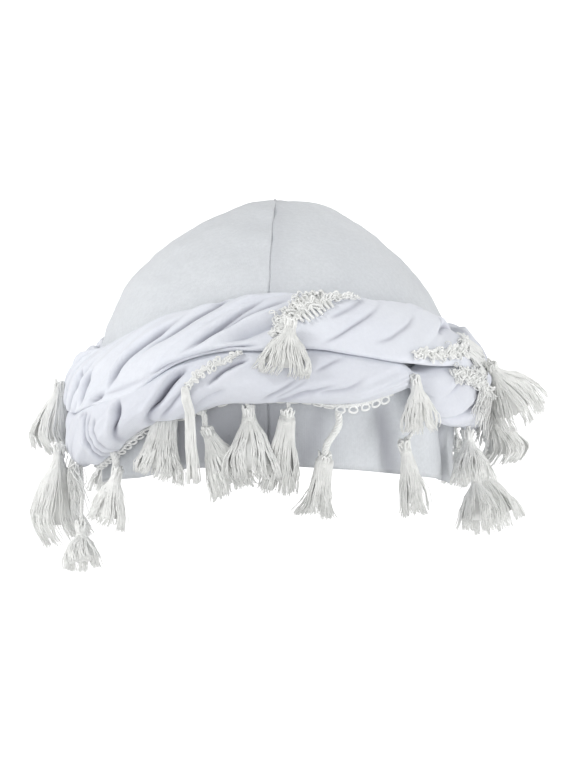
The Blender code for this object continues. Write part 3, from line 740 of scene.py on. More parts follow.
def strand(name, which, node):
    stations = station_angles()
    around = np.linspace(0, 2 * np.pi, AROUND + 1)
    around = around - CLOSER * np.sin(around)
    angle = stations[:-1, None]
    own = around[None, :-1] - np.radians(angle * FOLD_TURNS)
    turn = around[None, :-1] - phase_at(angle) - math.pi * which
    angle = angle + np.zeros_like(own)
    across, up, away = strand_section(which, angle, turn)
    drop, out = roll_point(angle, across, up)
    points = place(angle, drop, out) / MM
    normal = unit(np.cross(np.roll(points, -1, 0) - np.roll(points, 1, 0), ring_slope(points)))
    centre = points.mean(axis=1, keepdims=True)
    normal *= np.sign((normal * (points - centre)).sum(-1).mean())
    shows = smoothstep(-1.0, -0.72, away)
    outer = smoothstep(-0.35, 0.15, across)
    front = smoothstep(-62, -50, angle) * smoothstep(56, 44, angle)  # where the listed creases are
    press, line = crease_depth(which, angle, drop)
    twist, twist_painted_shade = twist_folds(which, angle, own)
    folds = press * outer + twist * between(1.0, 0.12, front)
    # Painted shade along the creases and the twist folds, where the cloth shows
    painted_crease_shade = np.maximum(line * outer, twist_painted_shade * (1 - front) * 0.8) * shows
    lift = 0.2 - folds * shows + fine_wrinkles(which, angle, own) * shows
    free = smoothstep(-1.0, -0.6, across)
    points = points + normal * (lift * between(0.3, 1.0, free))[..., None]
    quads = grid_quads(STATIONS, AROUND, wrap_rows=True, wrap_columns=True)
    u = stations[np.arange(STATIONS)[:, None, None] + (0, 1, 1, 0)] * MM_A_DEGREE
    v = around[np.arange(AROUND)[:, None] + (0, 0, 1, 1)] * KNIT_MM_A_RADIAN
    uv = np.stack(np.broadcast_arrays(u, v), -1).reshape(-1, 4, 2)
    flat = points.reshape(-1, 3) * MM
    out_quads = facing_out(flat, quads)
    uv = uv if out_quads is quads else uv[:, ::-1]
    # Painted shade: the creases' lines, and a little over the whole lower strand
    hollow = painted_crease_shade + LOWER_SHADE * which * outer
    obj = mesh_piece(name, flat, out_quads, WRAP_CLOTH, "wrap_jersey", [node], uv=uv, hollow=hollow)
    return tree_of(flat, out_quads)


def ring_slope(points):
    return np.roll(points, -1, 1) - np.roll(points, 1, 1)


# What braid and tassels rest on
FAR_OUT = 0.3  # metres from the head's middle, where rays start


def first_hit(trees, start, direction, reach):
    hits = [tree.ray_cast(start, direction, reach) for tree in trees]
    hits = [h for h in hits if h[0] is not None]
    return min(hits, key=lambda h: h[3])[0] if hits else None


def nearest(trees, point):
    return min((tree.find_nearest(point) for tree in trees), key=lambda found: found[3])


def outermost(trees, angle, drop):
    """The outside of these surfaces at one angle and drop, or None."""
    direction = Vector(outward(angle))
    start = direction * FAR_OUT
    start.z = (CLOTH - drop) * MM
    return first_hit(trees, start, -direction, FAR_OUT)


def on_roll(roll, angle, drop, else_out):
    """The outside of the roll at one angle and drop, or else a place so far out from the cap, mm."""
    hit = outermost(roll, angle, drop)
    return np.array(hit) if hit is not None else place(angle, drop, else_out)


def loop(turn, across, top, broad, tall, pear):
    """A loop of thread, in metres from its middle. With pear over 0 it is widest near its top."""
    wide = broad * np.sin(turn) * (1 + pear * np.cos(turn))
    return (across * wide[:, None] + top * (tall * np.cos(turn))[:, None]) * MM


# Braid: a cord of three plaited threads with a row of small loops along one edge
PLAIT_WIDE, PLAIT_DEEP, PLAIT_THREAD, PLAIT_TURN = 0.85, 0.45, 0.52, 3.6
Loops = namedtuple("Loops", "step wide tall thread messy")
PLAIN_LOOPS = Loops(5.4, 1.9, 1.7, 0.5, 0.15)
BEAD_LOOPS = Loops(2.1, 0.8, 0.95, 0.48, 0.9)
LARGE_LOOPS = Loops(0.95, 0.85, 1.25, 0.35, 1.3)


def smoothed(line, times):
    for _ in range(times):
        line[1:-1] = (line[:-2] + 2 * line[1:-1] + line[2:]) / 4
    return line


def even_steps(points, step):
    """Points a step apart along a line, with the same step for each."""
    lengths = np.concatenate([[0], np.cumsum(np.linalg.norm(np.diff(points, axis=0), axis=1))])
    count = max(2, round(lengths[-1] / step) + 1)
    at = np.linspace(0, lengths[-1], count)
    return np.stack([np.interp(at, lengths, points[:, k]) for k in range(3)], -1), lengths[-1]


def braid(name, line, out, node, bulk, kind, inward=None, extra=()):
    """Line is in metres and out points away from what the braid lies on. Bulk is the braid's size along its
    length, kind is its loops, and inward is where they point in to the head, out of sight."""
    messy = kind.messy
    path, length = even_steps(resampled(line, 8 * len(line)), 0.55 * MM)
    along = unit(np.gradient(path, axis=0))
    away = resampled(out, len(path))
    away = unit(away - along * (away * along).sum(-1, keepdims=True))
    side = np.cross(along, away)
    side *= np.sign(-(side[:, 2].mean() or 1))
    travel = np.linspace(0, length / MM, len(path))[:, None]
    share = travel[:, 0] / travel[-1, 0]
    size = np.interp(share, np.linspace(0, 1, len(bulk)), bulk)[:, None]
    wobble = messy * 0.5 * np.sin(travel / 2.3) + messy * 0.3 * np.sin(travel / 0.9)
    strands = []
    for k in range(3):
        turn = 2 * np.pi * (travel / PLAIT_TURN + k / 3)
        over = side * (PLAIT_WIDE * size * np.sin(turn) + wobble)
        strands.append(path + (over + away * PLAIT_DEEP * size * np.sin(2 * turn)) * MM)
    parts = [tubes(np.array(strands), PLAIT_THREAD * MM * size.T, away[None], sides=6)]
    rings, normals, thick = [], [], []
    ring_points, sides = (12, 5) if messy > 1 else (16, 6)
    turn = corners(ring_points)
    at = kind.step / 2
    while at < length / MM - kind.step / 3:
        i = int(at / (length / MM) * (len(path) - 1))
        at += kind.step * (1 + messy * RNG.uniform(-0.55, 0.2))
        tall = kind.tall * (1 + messy * RNG.uniform(-0.4, 0.5)) * min(1.4, size[i, 0])
        broad = kind.wide * (1 + messy * RNG.uniform(-0.35, 0.3))
        flip = -1.0 if RNG.random() < 0.45 * messy else 1.0
        down = side[i] * flip + along[i] * RNG.uniform(-1.1, 1.1) * messy
        down = down + away[i] * RNG.uniform(-0.1, 0.8) * messy
        if inward is not None:
            down = down - away[i] * 2.2 * inward(share[i])
        down = unit(down)
        flat = unit(along[i] + away[i] * RNG.uniform(-0.9, 0.9) * messy)
        flat = unit(flat - down * (flat @ down))
        beside = RNG.uniform(-1.0, 1.1) if messy > 1 else 1.0
        spot = side[i] * flip * PLAIT_WIDE * size[i, 0] * beside + down * tall * 0.6
        centre = path[i] + (spot + away[i] * (0.25 + 0.9 * (messy > 1) * (1 - abs(beside)) * size[i, 0])) * MM
        rings.append(centre + loop(turn, flat, -down, broad, tall, -0.25))
        normals.append(np.broadcast_to(np.cross(flat, down), rings[-1].shape))
        thick.append(kind.thread * (1 + messy * RNG.uniform(-0.15, 0.35)) * MM)
    thick = np.repeat(np.array(thick)[:, None], len(turn), 1)
    parts.append(tubes(np.array(rings), thick, np.array(normals), sides=sides, closed=True))
    parts.extend(extra)
    points, quads = joined(parts)
    # Painted shade: the bead loops, in the groove between the strands, get darker tones
    tone = (0.35 + 0.65 * RNG.random(len(points)) ** 0.5) * (0.45 if kind is BEAD_LOOPS else 1.0)
    mesh_piece(name, points, quads, BRAID_THREAD, "trim_braid", [node], tone=tone)
    return tree_of(points, quads)


BRAID_LOOKS = {  # bulk and loops
    "braid_front": ((0.6, 0.7, 1.3, 1.7, 1.9, 1.6), LARGE_LOOPS),
    "braid_left": ((1.0, 0.8), BEAD_LOOPS),
    "braid_right": ((0.8, 1.3, 1.4, 0.7), LARGE_LOOPS),
    "braid_side": ((1.4, 1.7, 1.6), LARGE_LOOPS),
}


def braid_over(node, rows, roll):
    line, away = [], []
    for angle, drop in resampled(rows, 6 * len(rows)):
        line.append(on_roll(roll, angle, drop, 20.0))
        away.append(outward(angle))
    line, away = smoothed(np.array(line), 3), np.array(away)
    for _ in range(2):
        line = np.array([pressed_out(roll, p, a, 1.0 * MM) for p, a in zip(line, away)])
    bulk, kind = BRAID_LOOKS[node]
    return braid(node + "_loops", line, away, node, bulk, kind, extra=extras(node, roll))


# Ribs side by side, from the upper right one's middle to the lower left one's, as angle and drop
RIBS, RIBS_FROM, RIBS_TO = 8, (13.8, 40.0), (6.6, 46.2)
RIB_HALF, RIB_THREAD = 4.8, 0.68


def ribbed_patch(roll):
    """Thick cords side by side across the front braid, each from its upper left to its lower right end."""
    paths = []
    for angle, drop in np.linspace(RIBS_FROM, RIBS_TO, RIBS):
        reach = RIB_HALF * RNG.uniform(0.8, 1.1)
        path = []
        for t in np.linspace(-1, 1, 9):
            spot = (angle + 0.62 * reach * t / MM_A_DEGREE, drop + 0.78 * reach * t)
            path.append(on_roll(roll, *spot, 21.0) + outward(spot[0]) * (1.2 + 1.1 * (1 - t**4)) * MM)
        paths.append(path)
    return tubes(np.array(paths), RIB_THREAD * MM, outward(11.0), sides=8)


def pressed_out(trees, point, direction, reach):
    """The point moved along direction until it is reach from the surfaces."""
    point, direction = Vector(point), Vector(direction)
    for _ in range(40):
        spot, normal, _, far = nearest(trees, point)
        inside = (point - spot).dot(normal) < 0
        short = reach + far if inside else reach - far
        if short <= 0:
            break
        point = point + direction * max(short, 0.00005)
    return np.array(point)


FRINGE = 170  # threads


def fringe(roll):
    """Loose threads on the roll's side, from the right braid's end round to the first side tassel."""
    share = RNG.random(FRINGE)
    start = np.stack([between(60, 71, share) + RNG.normal(0, 0.8, FRINGE), between(67, 60.5, share)], -1)
    end = start + np.stack([RNG.uniform(10, 17, FRINGE), RNG.uniform(9, 16, FRINGE)], -1)
    height, phase = RNG.uniform(0.3, 1.9, FRINGE), RNG.uniform(*ANY_PHASE, FRINGE)
    paths = []
    for k in range(FRINGE):
        path = []
        for t in np.linspace(0, 1, 8):
            angle, drop = between(start[k], end[k], t) + 0.35 * np.sin(7 * t + phase[k])
            lift = 0.3 + height[k] * math.sin(math.pi * min(0.9, 0.2 + t))
            path.append(on_roll(roll, angle, drop, 14.0) + outward(angle) * lift * MM)
        paths.append(path)
    return tubes(np.array(paths), 0.28 * MM, outward(75.0), sides=3)


Boucle = namedtuple("Boucle", "count spread height path")
BOUCLES = {
    "braid_front": Boucle(110, 1.5, 2.6, ((10.8, 37.5), (8.5, 40), (6, 43.5), (3.8, 47.5), (2.0, 51.5))),
    "braid_right": Boucle(80, 1.3, 2.2, BRAIDS["braid_right"]),
    "braid_side": Boucle(150, 2.0, 3.0, BRAIDS["braid_side"]),
}


def boucle(roll, row):
    """Small loops of thin thread that stand in all directions along a path on the roll."""
    path = np.array(row.path, float)
    spots = curve_through(path, RNG.uniform(0, len(path) - 1, row.count))
    spots = spots + RNG.normal(0, row.spread, (row.count, 2)) / (MM_A_DEGREE, 1.0)
    turn = corners(12)[:, None]
    rings, normals = [], []
    for angle, drop in spots:
        hit = outermost(roll, angle, drop)
        while hit is None and drop < row.path[-1][1]:
            drop += 0.8
            hit = outermost(roll, angle, drop)
        if hit is None:
            continue
        axis = unit(RNG.normal(size=3))
        across = unit(np.cross(axis, RNG.normal(size=3)))
        size = RNG.uniform(0.7, 1.5, 2)
        ring = across * np.cos(turn) * size[0] + np.cross(axis, across) * np.sin(turn) * size[1]
        rings.append(np.array(hit) + (outward(angle) * RNG.uniform(0.4, row.height) + ring) * MM)
        normals.append(np.broadcast_to(axis, ring.shape))
    return tubes(np.array(rings), 0.29 * MM, np.array(normals), sides=5, closed=True)


VEIL, LEFT_VEIL = 420, 240  # threads
LEFT_VEIL_PATH = ((-60, 116), (-66, 118), (-73, 120), (-80, 120), (-86, 118))


def veil(roll, path, count):
    """Loose threads that hang from a path on the roll, in front of what is behind them."""
    path = np.array(path, float)
    share = RNG.random(count)
    start = curve_through(path, share * (len(path) - 1)) + RNG.normal(0, 1.2, (count, 2))
    long = RNG.uniform(9, 22, count) * (0.5 + 0.5 * np.sin(np.pi * share) ** 0.7)
    end = start + np.stack([RNG.uniform(-4, 7, count), long], -1)
    height, phase = RNG.uniform(0.5, 3.2, count), RNG.uniform(*ANY_PHASE, count)
    paths = []
    for k in range(count):
        path_out, last = [], np.hypot(*place(*start[k], 12.0)[:2]) / MM
        for t in np.linspace(0, 1, 8):
            angle, drop = between(start[k], end[k], t) + 0.6 * np.sin(6 * t + phase[k]) * np.array((1.0, 0.3))
            hit = outermost(roll, angle, drop)
            reach = math.hypot(hit.x, hit.y) / MM if hit is not None else last
            last = max(reach, last - 0.4)
            lift = 0.5 + height[k] * math.sin(math.pi * min(0.85, 0.15 + t))
            point = outward(angle) * (last + lift)
            path_out.append(np.array((point[0], point[1], CLOTH - drop)) * MM)
        paths.append(path_out)
    return tubes(np.array(paths), 0.26 * MM, outward(80.0), sides=3)


def extras(node, roll):
    """What lies on a braid besides its own row of loops."""
    parts = [boucle(roll, BOUCLES[node])] if node in BOUCLES else []
    if node == "braid_front":
        parts.append(ribbed_patch(roll))
    if node == "braid_right":
        parts.append(fringe(roll))
    if node == "braid_side":
        parts.append(veil(roll, BRAIDS[node][2:], VEIL))
    if node == "braid_under":
        parts.append(veil(roll, LEFT_VEIL_PATH, LEFT_VEIL))
    return parts


SHOWN = 15.0  # the angle from which the loops under the roll come out to the front
BELOW_ROLL, UP = 12.0, Vector((0, 0, 1))


def braid_beneath(node, start, end, out, roll):
    count = int(abs(end - start) / 2.5)
    line, away = [], []
    for step in range(count + 1):
        angle = (between(start, end, step / count) + 180) % 360 - 180
        bottom = float(round_head(ROLL, "bottom", np.array(float(angle))))
        under = out - 4.0 * float(smoothstep(SHOWN, SHOWN - 5, angle)) if end < 90 else out
        low = Vector(place(angle, bottom + BELOW_ROLL, under))
        hit = first_hit(roll, low, UP, 0.03)
        spot = Vector(place(angle, bottom, under))
        spot.z = hit.z if hit is not None else spot.z
        line.append(np.array(spot) - (0, 0, 1.3 * MM))
        away.append(outward(angle))
    line, away = smoothed(np.array(line), 2), np.array(away)
    seen = (SHOWN - start) / (end - start)

    def tucked(share):
        return float(share < seen or end > 90)

    return braid(node + "_loops", line, away, node, (0.8, 0.8), PLAIN_LOOPS, tucked, extras(node, roll))


# Tassels
THREADS, BACK_THREADS, LONG_THREADS = 235, 120, 90  # in each tassel
THREAD, THREAD_POINTS, THREAD_SIDES = 0.225, 9, 4
# What the threads add to a tassel's solid: how many times wider and deeper they spread, how far its head and
# its ends are moved, mm, how many times broader its head is, and how thick its hanging thread is, mm
TasselLook = namedtuple(
    "TasselLook",
    "wider deeper head_right head_up tip_right tip_up broad_head hanger",
    defaults=(1.0, 1.0, 0.0, 0.0, 0.0, 0.0, 1.0, 0.62),
)
TASSEL_LOOKS = {
    "front_1": TasselLook(1.25, 1.0, -1.5, 5.5),
    "front_2": TasselLook(1.4, 1.1, -3.0, 0.0, 2.6, 0.0, 1.25, 1.2),
    "front_3": TasselLook(1.2, 1.0, 0.0, 3.0, 0.0, 0.0, 1.2),
    "front_4": TasselLook(1.3, 1.0, 2.0, 5.0, -4.5, -0.8, 1.5),
    "front_5": TasselLook(1.0, 1.0, 0.0, 0.0, -1.5, -1.0, 1.75, 1.4),
    "left_1": TasselLook(1.3, 1.0, hanger=1.5),
    "left_2": TasselLook(1.2, 1.1, -2.0),
    "left_3": TasselLook(1.5, 1.5, -5.5, 11.0, 1.0, -4.5, 1.3),
    "left_4": TasselLook(1.45, 1.35, 0.0, 2.0, 1.5),
    "right_1": TasselLook(1.7, 1.5, 2.0, 4.0, 3.0),
    "right_2": TasselLook(1.5, 1.7, -2.5, 1.0, -1.5, 0.0, 1.4),
    "right_3": TasselLook(1.45, 1.4, -3.5, 2.5, -4.5, 0.0, 1.3),
    "right_4": TasselLook(1.3, 1.3),
    "right_5": TasselLook(1.35, 1.45, 0.0, 2.0, 1.5, 0.0, 1.4),
}
TASSEL_LOCKS = 8
HEAD_LOOPS, HEAD_LOOP_THREAD = 10, 0.55
GOLDEN, GOLDEN_SHARE = math.pi * (3 - math.sqrt(5)), 0.381966  # spread the threads evenly
HEADLESS = ("front_1",)  # heads that the roll hides
HUNG_FROM_ROLL = ("left_2",)  # the others hang from whatever is nearest
COLUMNS = ("front_5",)  # these hang straight and spread only at their ends
# Painted shade: these have darker threads, for the roll's shade over them
PAINTED_SHADE_TASSELS = ("front_knot", "front_1", "front_2", "front_3", "front_4", "front_5", "front_7")


def spine_of(row, tree):
    """The tassel's middle line, read off the solid that it stands for, from its head to its ends."""
    points = []
    for share in (0.06, 0.25, 0.5, 0.75, 0.92):
        angle = between(row.head_angle, row.tip_angle, share)
        drop = between(row.head_drop, row.tip_drop, share)
        direction = Vector(outward(angle))
        far, axis = direction * FAR_OUT, direction * 0.03
        far.z = axis.z = (CLOTH - drop) * MM
        outer = tree.ray_cast(far, -direction, FAR_OUT)[0]
        inner = tree.ray_cast(axis, direction, FAR_OUT)[0]
        points.append(
            (outer + inner) / 2
            if outer is not None and inner is not None
            else Vector(place(angle, drop, between(row.out, row.tip_out, share)))
        )
    points = np.array(points)
    # On to the solid's two ends, past the first and the last share that were read
    head = points[0] + (points[0] - points[1]) * 0.06 / 0.19
    tip = points[-1] + (points[-1] - points[-2]) * 0.08 / 0.17
    return np.vstack([head, points[1:-1], tip])


def tassel_form(row, look):
    """Half widths and half depths, mm, at shares of the length from a tassel's head to its ends."""
    if row.root is not None:
        shares = np.array([0.0, 0.03, 0.1, 0.5, 0.8, 1.0])
        half_w = np.array([0.9, 1.8, 2.1, 2.2, 2.6, row.half_width * 0.9])
        half_d = np.array([0.9, 1.6, 1.8, 1.8, 2.1, row.half_depth * 0.85])
    else:
        knot = KNOT_LENGTH / (row.tip_drop - row.head_drop) * 0.7
        shares = np.array([0, knot * 0.5, knot] + [between(knot, 1, s) for s in (0.22, 0.6, 1.0)])
        half_w = np.array([1.3, 2.4, 2.3] + [max(KNOT, row.half_width * s) for s in (0.6, 0.9, 1.02)])
        half_d = np.array([1.2, 2.2, 2.1] + [max(KNOT, row.half_depth * s) for s in (0.7, 0.95, 1.05)])
    if row.name in HEADLESS:
        half_w[:3] = (6.0, 6.4, 6.8)
        half_w[3:] = np.maximum(half_w[3:], 7.6)
    if row.name in COLUMNS:
        shares[3:] = between(shares[2], 1.0, np.array((0.3, 0.76, 1.0)))
        half_w[3:] *= (0.78, 0.56, 1.05)
        half_d[3:] *= (0.75, 0.7, 1.0)
    half_w[:3] *= look.broad_head
    half_w[2:] *= between(1.0, look.wider, np.linspace(0.4, 1, len(half_w) - 2))
    half_d[2:] *= between(1.0, look.deeper, np.linspace(0.4, 1, len(half_d) - 2))
    return shares, half_w, half_d


def tassel(row, carriers):
    """A tassel's threads and loops, hung from the nearest of the carriers."""
    node = "tassel_" + row.name
    look = TASSEL_LOOKS.get(row.name, TasselLook())
    spine = spine_of(row, node_tree(node))
    long_thread = row.root is not None
    if row.name in HEADLESS:
        spine[0] += unit(spine[0] - spine[1]) * 4.5 * MM
    share = np.linspace(0, 1, len(spine))
    spine[:, 0] += between(look.head_right, look.tip_right, share) * MM
    spine[:, 2] += between(look.head_up, look.tip_up, share) * MM
    if long_thread:
        upper = []
        for share in (0.0, 0.33, 0.66):
            angle = between(row.root[0], row.head_angle, share)
            drop = between(row.root[1], row.head_drop, share)
            hit = outermost(carriers, angle, drop)
            least = place(angle, drop, row.out)
            far = hit is None or hit.xy.length < np.hypot(least[0], least[1])
            upper.append(least if far else np.array(hit) + outward(angle) * 1.6 * MM)
        spine = np.vstack([upper, spine])
    side0 = outward(row.head_angle + 90)
    along0 = unit(spine[-1] - spine[0])
    wide = unit(side0 - along0 * (side0 @ along0))
    deep = np.cross(along0, wide)
    shares, half_w, half_d = tassel_form(row, look)
    threads = LONG_THREADS if long_thread else BACK_THREADS if row.name.startswith("back") else THREADS
    parts = [skirt(spine, shares, half_w, half_d, wide, deep, threads, 0.25 if long_thread else 1.0)]
    # Painted shade: darker tones for the tassels that hang under the roll's front
    dimmest, brightest = (0.46, 0.92) if row.name in PAINTED_SHADE_TASSELS else (0.93, 1.0)
    tones = [np.repeat(RNG.uniform(dimmest, brightest, threads), THREAD_POINTS * THREAD_SIDES)]
    parts.append(skirt_core(spine, shares, half_w, half_d, wide, deep))
    # Painted shade: the core is darker than its threads, for the shade inside the tassel
    tones.append(np.full(len(parts[-1][0]), dimmest - 0.15))
    if not long_thread and row.name not in HEADLESS:
        head, ring_tone = head_loops(spine, wide, deep, along0)
        parts.append(head)
        tones.append(ring_tone)
        above = carriers[:2] if row.name in HUNG_FROM_ROLL else carriers
        hanger = hanging_thread(spine, above, wide, look.hanger)
        parts.append(hanger)
        tones.append(np.full(len(hanger[0]), 0.8))
    points, quads = joined(parts)
    tone = np.concatenate(tones)
    mesh_piece(node + "_threads", points, quads, TASSEL_YARN, "tassel_thread", [node], tone=tone)


def skirt(spine, shares, half_w, half_d, wide, deep, threads, loose):
    """The threads of a tassel, gathered in wavy locks of uneven length."""
    i = np.arange(threads)[:, None]
    rho = 1.0 - 0.34 * ((i * GOLDEN_SHARE) % 1.0) ** 1.3
    phi = (i * GOLDEN + RNG.uniform(-0.2, 0.2, (threads, 1))) % (2 * np.pi)
    which = (phi / (2 * np.pi) * TASSEL_LOCKS).astype(int)
    lock = (which + 0.5) * 2 * np.pi / TASSEL_LOCKS
    locks = RNG.uniform(-1, 1, (4, TASSEL_LOCKS))[:, which]
    uneven = loose * (0.05 * locks[0] + RNG.uniform(-0.07, 0.03, (threads, 1)))
    first_share = shares[1] * RNG.uniform(0.0, 1.0, (threads, 1))
    s = between(first_share, 1.0 + uneven, np.linspace(0, 1, THREAD_POINTS))
    count = len(spine) - 1
    centre = curve_through(spine, np.minimum(s, 1.0) * count)
    beyond = np.maximum(s - 1.0, 0)[..., None] * (spine[-1] - spine[-2]) * count
    w, d = np.interp(s, shares, half_w), np.interp(s, shares, half_d)
    opened = smoothstep(shares[2], 0.85, s)
    angle = phi + opened * (0.2 * (lock - phi) + 0.12 * locks[1])
    reach = rho * (1 + 0.1 * loose * opened * locks[2])
    stray = loose * (RNG.random((threads, 1)) > 0.9) * RNG.uniform(0.4, 2.4, (threads, 1)) * opened**2
    first = (3.1 * locks[3] + 2.2 * locks[0], 3.1 * locks[1])
    swing = 0.85 * loose * opened
    x = np.cos(angle) * (reach * w + stray) + swing * np.sin(2 * np.pi * 1.35 * s + first[0])
    y = np.sin(angle) * (reach * d + stray * 0.7) + 0.6 * swing * np.sin(2 * np.pi * 1.2 * s + first[1])
    own = RNG.uniform(*ANY_PHASE, (3, threads, 1))
    crimp = 0.3 * smoothstep(0.05, 0.6, s) * between(0.4, 1.0, loose)
    x = x + crimp * np.sin(2 * np.pi * (2.2 + 0.3 * own[2]) * s + own[0])
    y = y + crimp * np.sin(2 * np.pi * (2.0 + 0.3 * own[2]) * s + own[1])
    paths = centre + beyond + (x[..., None] * wide + y[..., None] * deep) * MM
    radius = THREAD * MM * RNG.uniform(0.8, 1.2, (threads, 1))
    radius = radius * between(1.0, 0.7, smoothstep(0.8, 1.0, s))
    return tubes(paths, radius, deep + 0.01 * wide, THREAD_SIDES)


CORE_SIZE, CORE_END, CORE_CLOSES = 0.74, 0.86, 0.83


def skirt_core(spine, shares, half_w, half_d, wide, deep):
    """The threads that fill the inside of a tassel, as one grooved form."""
    rows, sides = 14, 44
    s = between(shares[2] * 0.8, CORE_END, np.linspace(0, 1, rows))[:, None]
    turn = corners(sides)[None, :]
    groove = 1 + 0.08 * np.cos(turn * sides / 2) * smoothstep(0.1, 0.4, s)
    size = CORE_SIZE * groove * np.where(s > CORE_CLOSES, 0.05, 1.0)
    x = np.cos(turn) * np.interp(s, shares, half_w) * size
    y = np.sin(turn) * np.interp(s, shares, half_d) * size
    centre = curve_through(spine, s[:, 0] * (len(spine) - 1))[:, None, :]
    points = centre + (x[..., None] * wide + y[..., None] * deep) * MM
    flat = points.reshape(-1, 3)
    return flat, facing_out(flat, grid_quads(rows, sides, wrap_columns=True))


def head_loops(spine, wide, deep, along):
    """The threads' own loops that stand up over the head, and the thread bound round its neck."""
    turn = corners(12)
    rings, normals = [], []
    for k in range(HEAD_LOOPS):
        a = 2 * np.pi * (k + RNG.uniform(-0.2, 0.2)) / HEAD_LOOPS
        radial = wide * math.cos(a) + deep * math.sin(a)
        flat = unit(wide * -math.sin(a) + deep * math.cos(a) + radial * RNG.uniform(-0.7, 0.7))
        lift = unit(-along + radial * RNG.uniform(-0.1, 0.4))
        flat = unit(flat - lift * (flat @ lift))
        tall, broad = RNG.uniform(2.2, 3.6), RNG.uniform(0.6, 1.15)
        centre = spine[0] + (radial * 1.75 + along * RNG.uniform(0.8, 3.2)) * MM
        rings.append(centre + loop(turn, flat, lift, broad, tall, 0.3))
        normals.append(np.broadcast_to(np.cross(flat, lift), rings[-1].shape))
    loops = tubes(np.array(rings), HEAD_LOOP_THREAD * MM, np.array(normals), sides=5, closed=True)
    t = np.linspace(0, 1, 44)
    wind = 2 * np.pi * 3.2 * t
    neck = spine[0] + along * (3.6 + 1.9 * t)[:, None] * MM
    neck = neck + (wide * np.cos(wind)[:, None] * 2.35 + deep * np.sin(wind)[:, None] * 2.2) * MM
    binding = tubes(neck[None], 0.33 * MM, along, sides=4)
    points, quads = joined([loops, binding])
    return (points, quads), 0.4 + 0.6 * RNG.random(len(points)) ** 0.5


def hanging_thread(spine, carriers, wide, thick):
    """A twisted thread, or a thick cord of five, from what the tassel hangs from down to its head."""
    cord = thick > 1
    head = Vector(spine[0])
    root = nearest(carriers, head)[0]
    reach = (head - root).length
    points = max(6, int(reach / (0.6 * MM)))
    t = np.linspace(-0.02, 1.0 + 1.0 * MM / max(reach, MM), points)[:, None]
    sag = wide * np.sin(np.pi * t) * 0.04 * reach
    if cord:
        sag = sag + wide * np.sin(2 * np.pi * t) * 0.06 * reach
    line = np.array(root) * (1 - t) + np.array(head) * t + sag
    along = unit(np.array(head - root)) if reach > 1e-6 else np.array((0, 0, -1.0))
    across = unit(np.cross(along, wide + 0.01))
    other = np.cross(along, across)
    turn = 2 * np.pi * t * reach / (2.6 * MM)
    count = 5 if cord else 2
    cords = []
    for k in range(count):
        own = turn / (3.0 if cord else 1.0) + 2 * np.pi * k / count
        cords.append(line + (across * np.cos(own) + other * np.sin(own)) * (0.72 * thick) * MM)
    radius = thick * MM * (0.45 if cord else 1.0)
    return tubes(np.array(cords), radius, across + 0.3 * other, sides=6)


# Stage, in metres
FLOOR_BELOW = 0.45  # how far the floor is below the head wrap
FLAT, COVE, WALL_TOP = 3.8, 0.8, 1.7
GLOW, GLOW_FROM, GLOW_FULL = 0.57, 0.6, 1.6


def stage():
    """A round white floor that curves up into a low wall, and glows softly away from the head wrap."""
    floor_z = CAD_BOX[0].z - FLOOR_BELOW
    profile = [(r, 0.0) for r in (0.0, 0.15, 0.3, 0.45, 0.6, 0.8, 1.0, 1.3, 1.6, 2.0, 2.6, 3.2, FLAT)]
    for a in np.linspace(0.15, math.pi / 2, 10):
        profile.append((FLAT + COVE * math.sin(a), COVE - COVE * math.cos(a)))
    profile = np.array(profile + [(FLAT + COVE, WALL_TOP)])
    turn = np.linspace(0, 2 * np.pi, 72, endpoint=False)
    r, z = profile[:, :1], profile[:, 1:]
    points = np.stack([r * np.cos(turn), r * np.sin(turn), floor_z + z + 0 * turn], -1).reshape(-1, 3)
    quads = grid_quads(len(profile), len(turn), wrap_columns=True)
    mesh = bpy.data.meshes.new("studio_floor")
    mesh.from_pydata(points.tolist(), [], quads.tolist())
    away = np.repeat(profile[:, 0], len(turn))
    set_field(mesh, "glow", GLOW * smoothstep(GLOW_FROM, GLOW_FULL, away))
    mesh.shade_smooth()
    n = Nodes("studio_white")
    n.shader.inputs["Base Color"].default_value = (0.93, 0.93, 0.93, 1.0)
    n.shader.inputs["Roughness"].default_value = 0.9
    n.shader.inputs["Emission Color"].default_value = (1.0, 1.0, 1.0, 1.0)
    n.drive("Emission Strength", n.field("glow"))
    mesh.materials.append(n.material)
    floor = shown("studio_floor", mesh)


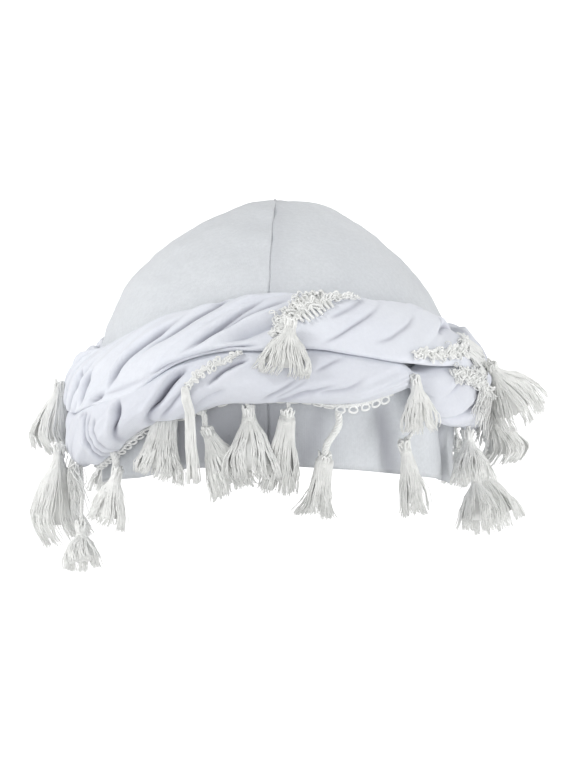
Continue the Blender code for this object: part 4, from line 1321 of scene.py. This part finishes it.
LIGHTS = table(
    "name place size watts",
    ("key_left", (-1.15, -0.6, 1.15), 0.4, 11.5),
    ("key_right", (1.3, -0.5, 0.35), 0.6, 4.6),
    ("top", (0.1, 0.3, 1.5), 0.8, 2.3),
    ("fill_low", (-0.1, -1.5, -0.5), 1.2, 0.3),
)
LIGHTS_AIM = (0.0, -0.05, -0.07)


def lights():
    for row in LIGHTS:
        data = bpy.data.lights.new(row.name, "AREA")
        data.shape, data.size, data.energy = "DISK", row.size, row.watts
        aimed(row.name, data, row.place, Vector(LIGHTS_AIM) - Vector(row.place))
    world = bpy.data.worlds.new("studio")
    world.use_nodes = True
    background = world.node_tree.nodes["Background"].inputs
    background["Color"].default_value = (1.0, 1.0, 1.0, 1.0)
    background["Strength"].default_value = 0.4
    bpy.context.scene.world = world
    bpy.context.scene.view_settings.view_transform = "Standard"


# The camera's place, and its aim as pixels of the photo beside and below the cap's top
AZIMUTH, ELEVATION, DISTANCE = math.radians(2.0), math.radians(4.0), 1.5
FOCAL_PX, IMAGE_HEIGHT, PX_A_METRE = 3300.0, 768.0, 2200.0
AIM_RIGHT, AIM_DOWN = 11.0 / PX_A_METRE, 180.0 / PX_A_METRE


def camera():
    level = math.cos(ELEVATION)
    forward = Vector((-math.sin(AZIMUTH) * level, math.cos(AZIMUTH) * level, -math.sin(ELEVATION)))
    right = Vector((math.cos(AZIMUTH), math.sin(AZIMUTH), 0.0))
    up = right.cross(forward)
    data = bpy.data.cameras.new("photo_view")
    data.sensor_width = 36.0
    data.lens = FOCAL_PX / IMAGE_HEIGHT * data.sensor_width
    data.clip_start, data.clip_end = 0.1, 20.0
    spot = right * AIM_RIGHT - up * AIM_DOWN - forward * DISTANCE
    bpy.context.scene.camera = aimed("photo_view", data, spot, forward)


def build():
    camera()
    for name, side, node in (("cap_left", -1, "crown_panel_left"), ("cap_right", 1, "crown_panel_right")):
        panel, area = cap_panel(name, side, node)
    roll = [strand("roll_upper", 0, "strand_upper"), strand("roll_lower", 1, "strand_lower")]
    carriers = list(roll)
    for node, rows in BRAIDS.items():
        carriers.append(braid_over(node, rows, roll))
    for node, (start, end, out) in BRAID_RUNS.items():
        carriers.append(braid_beneath(node, start, end, out, roll))
    for row in TASSELS:
        tassel(row, carriers)
    stage()
    lights()


build()
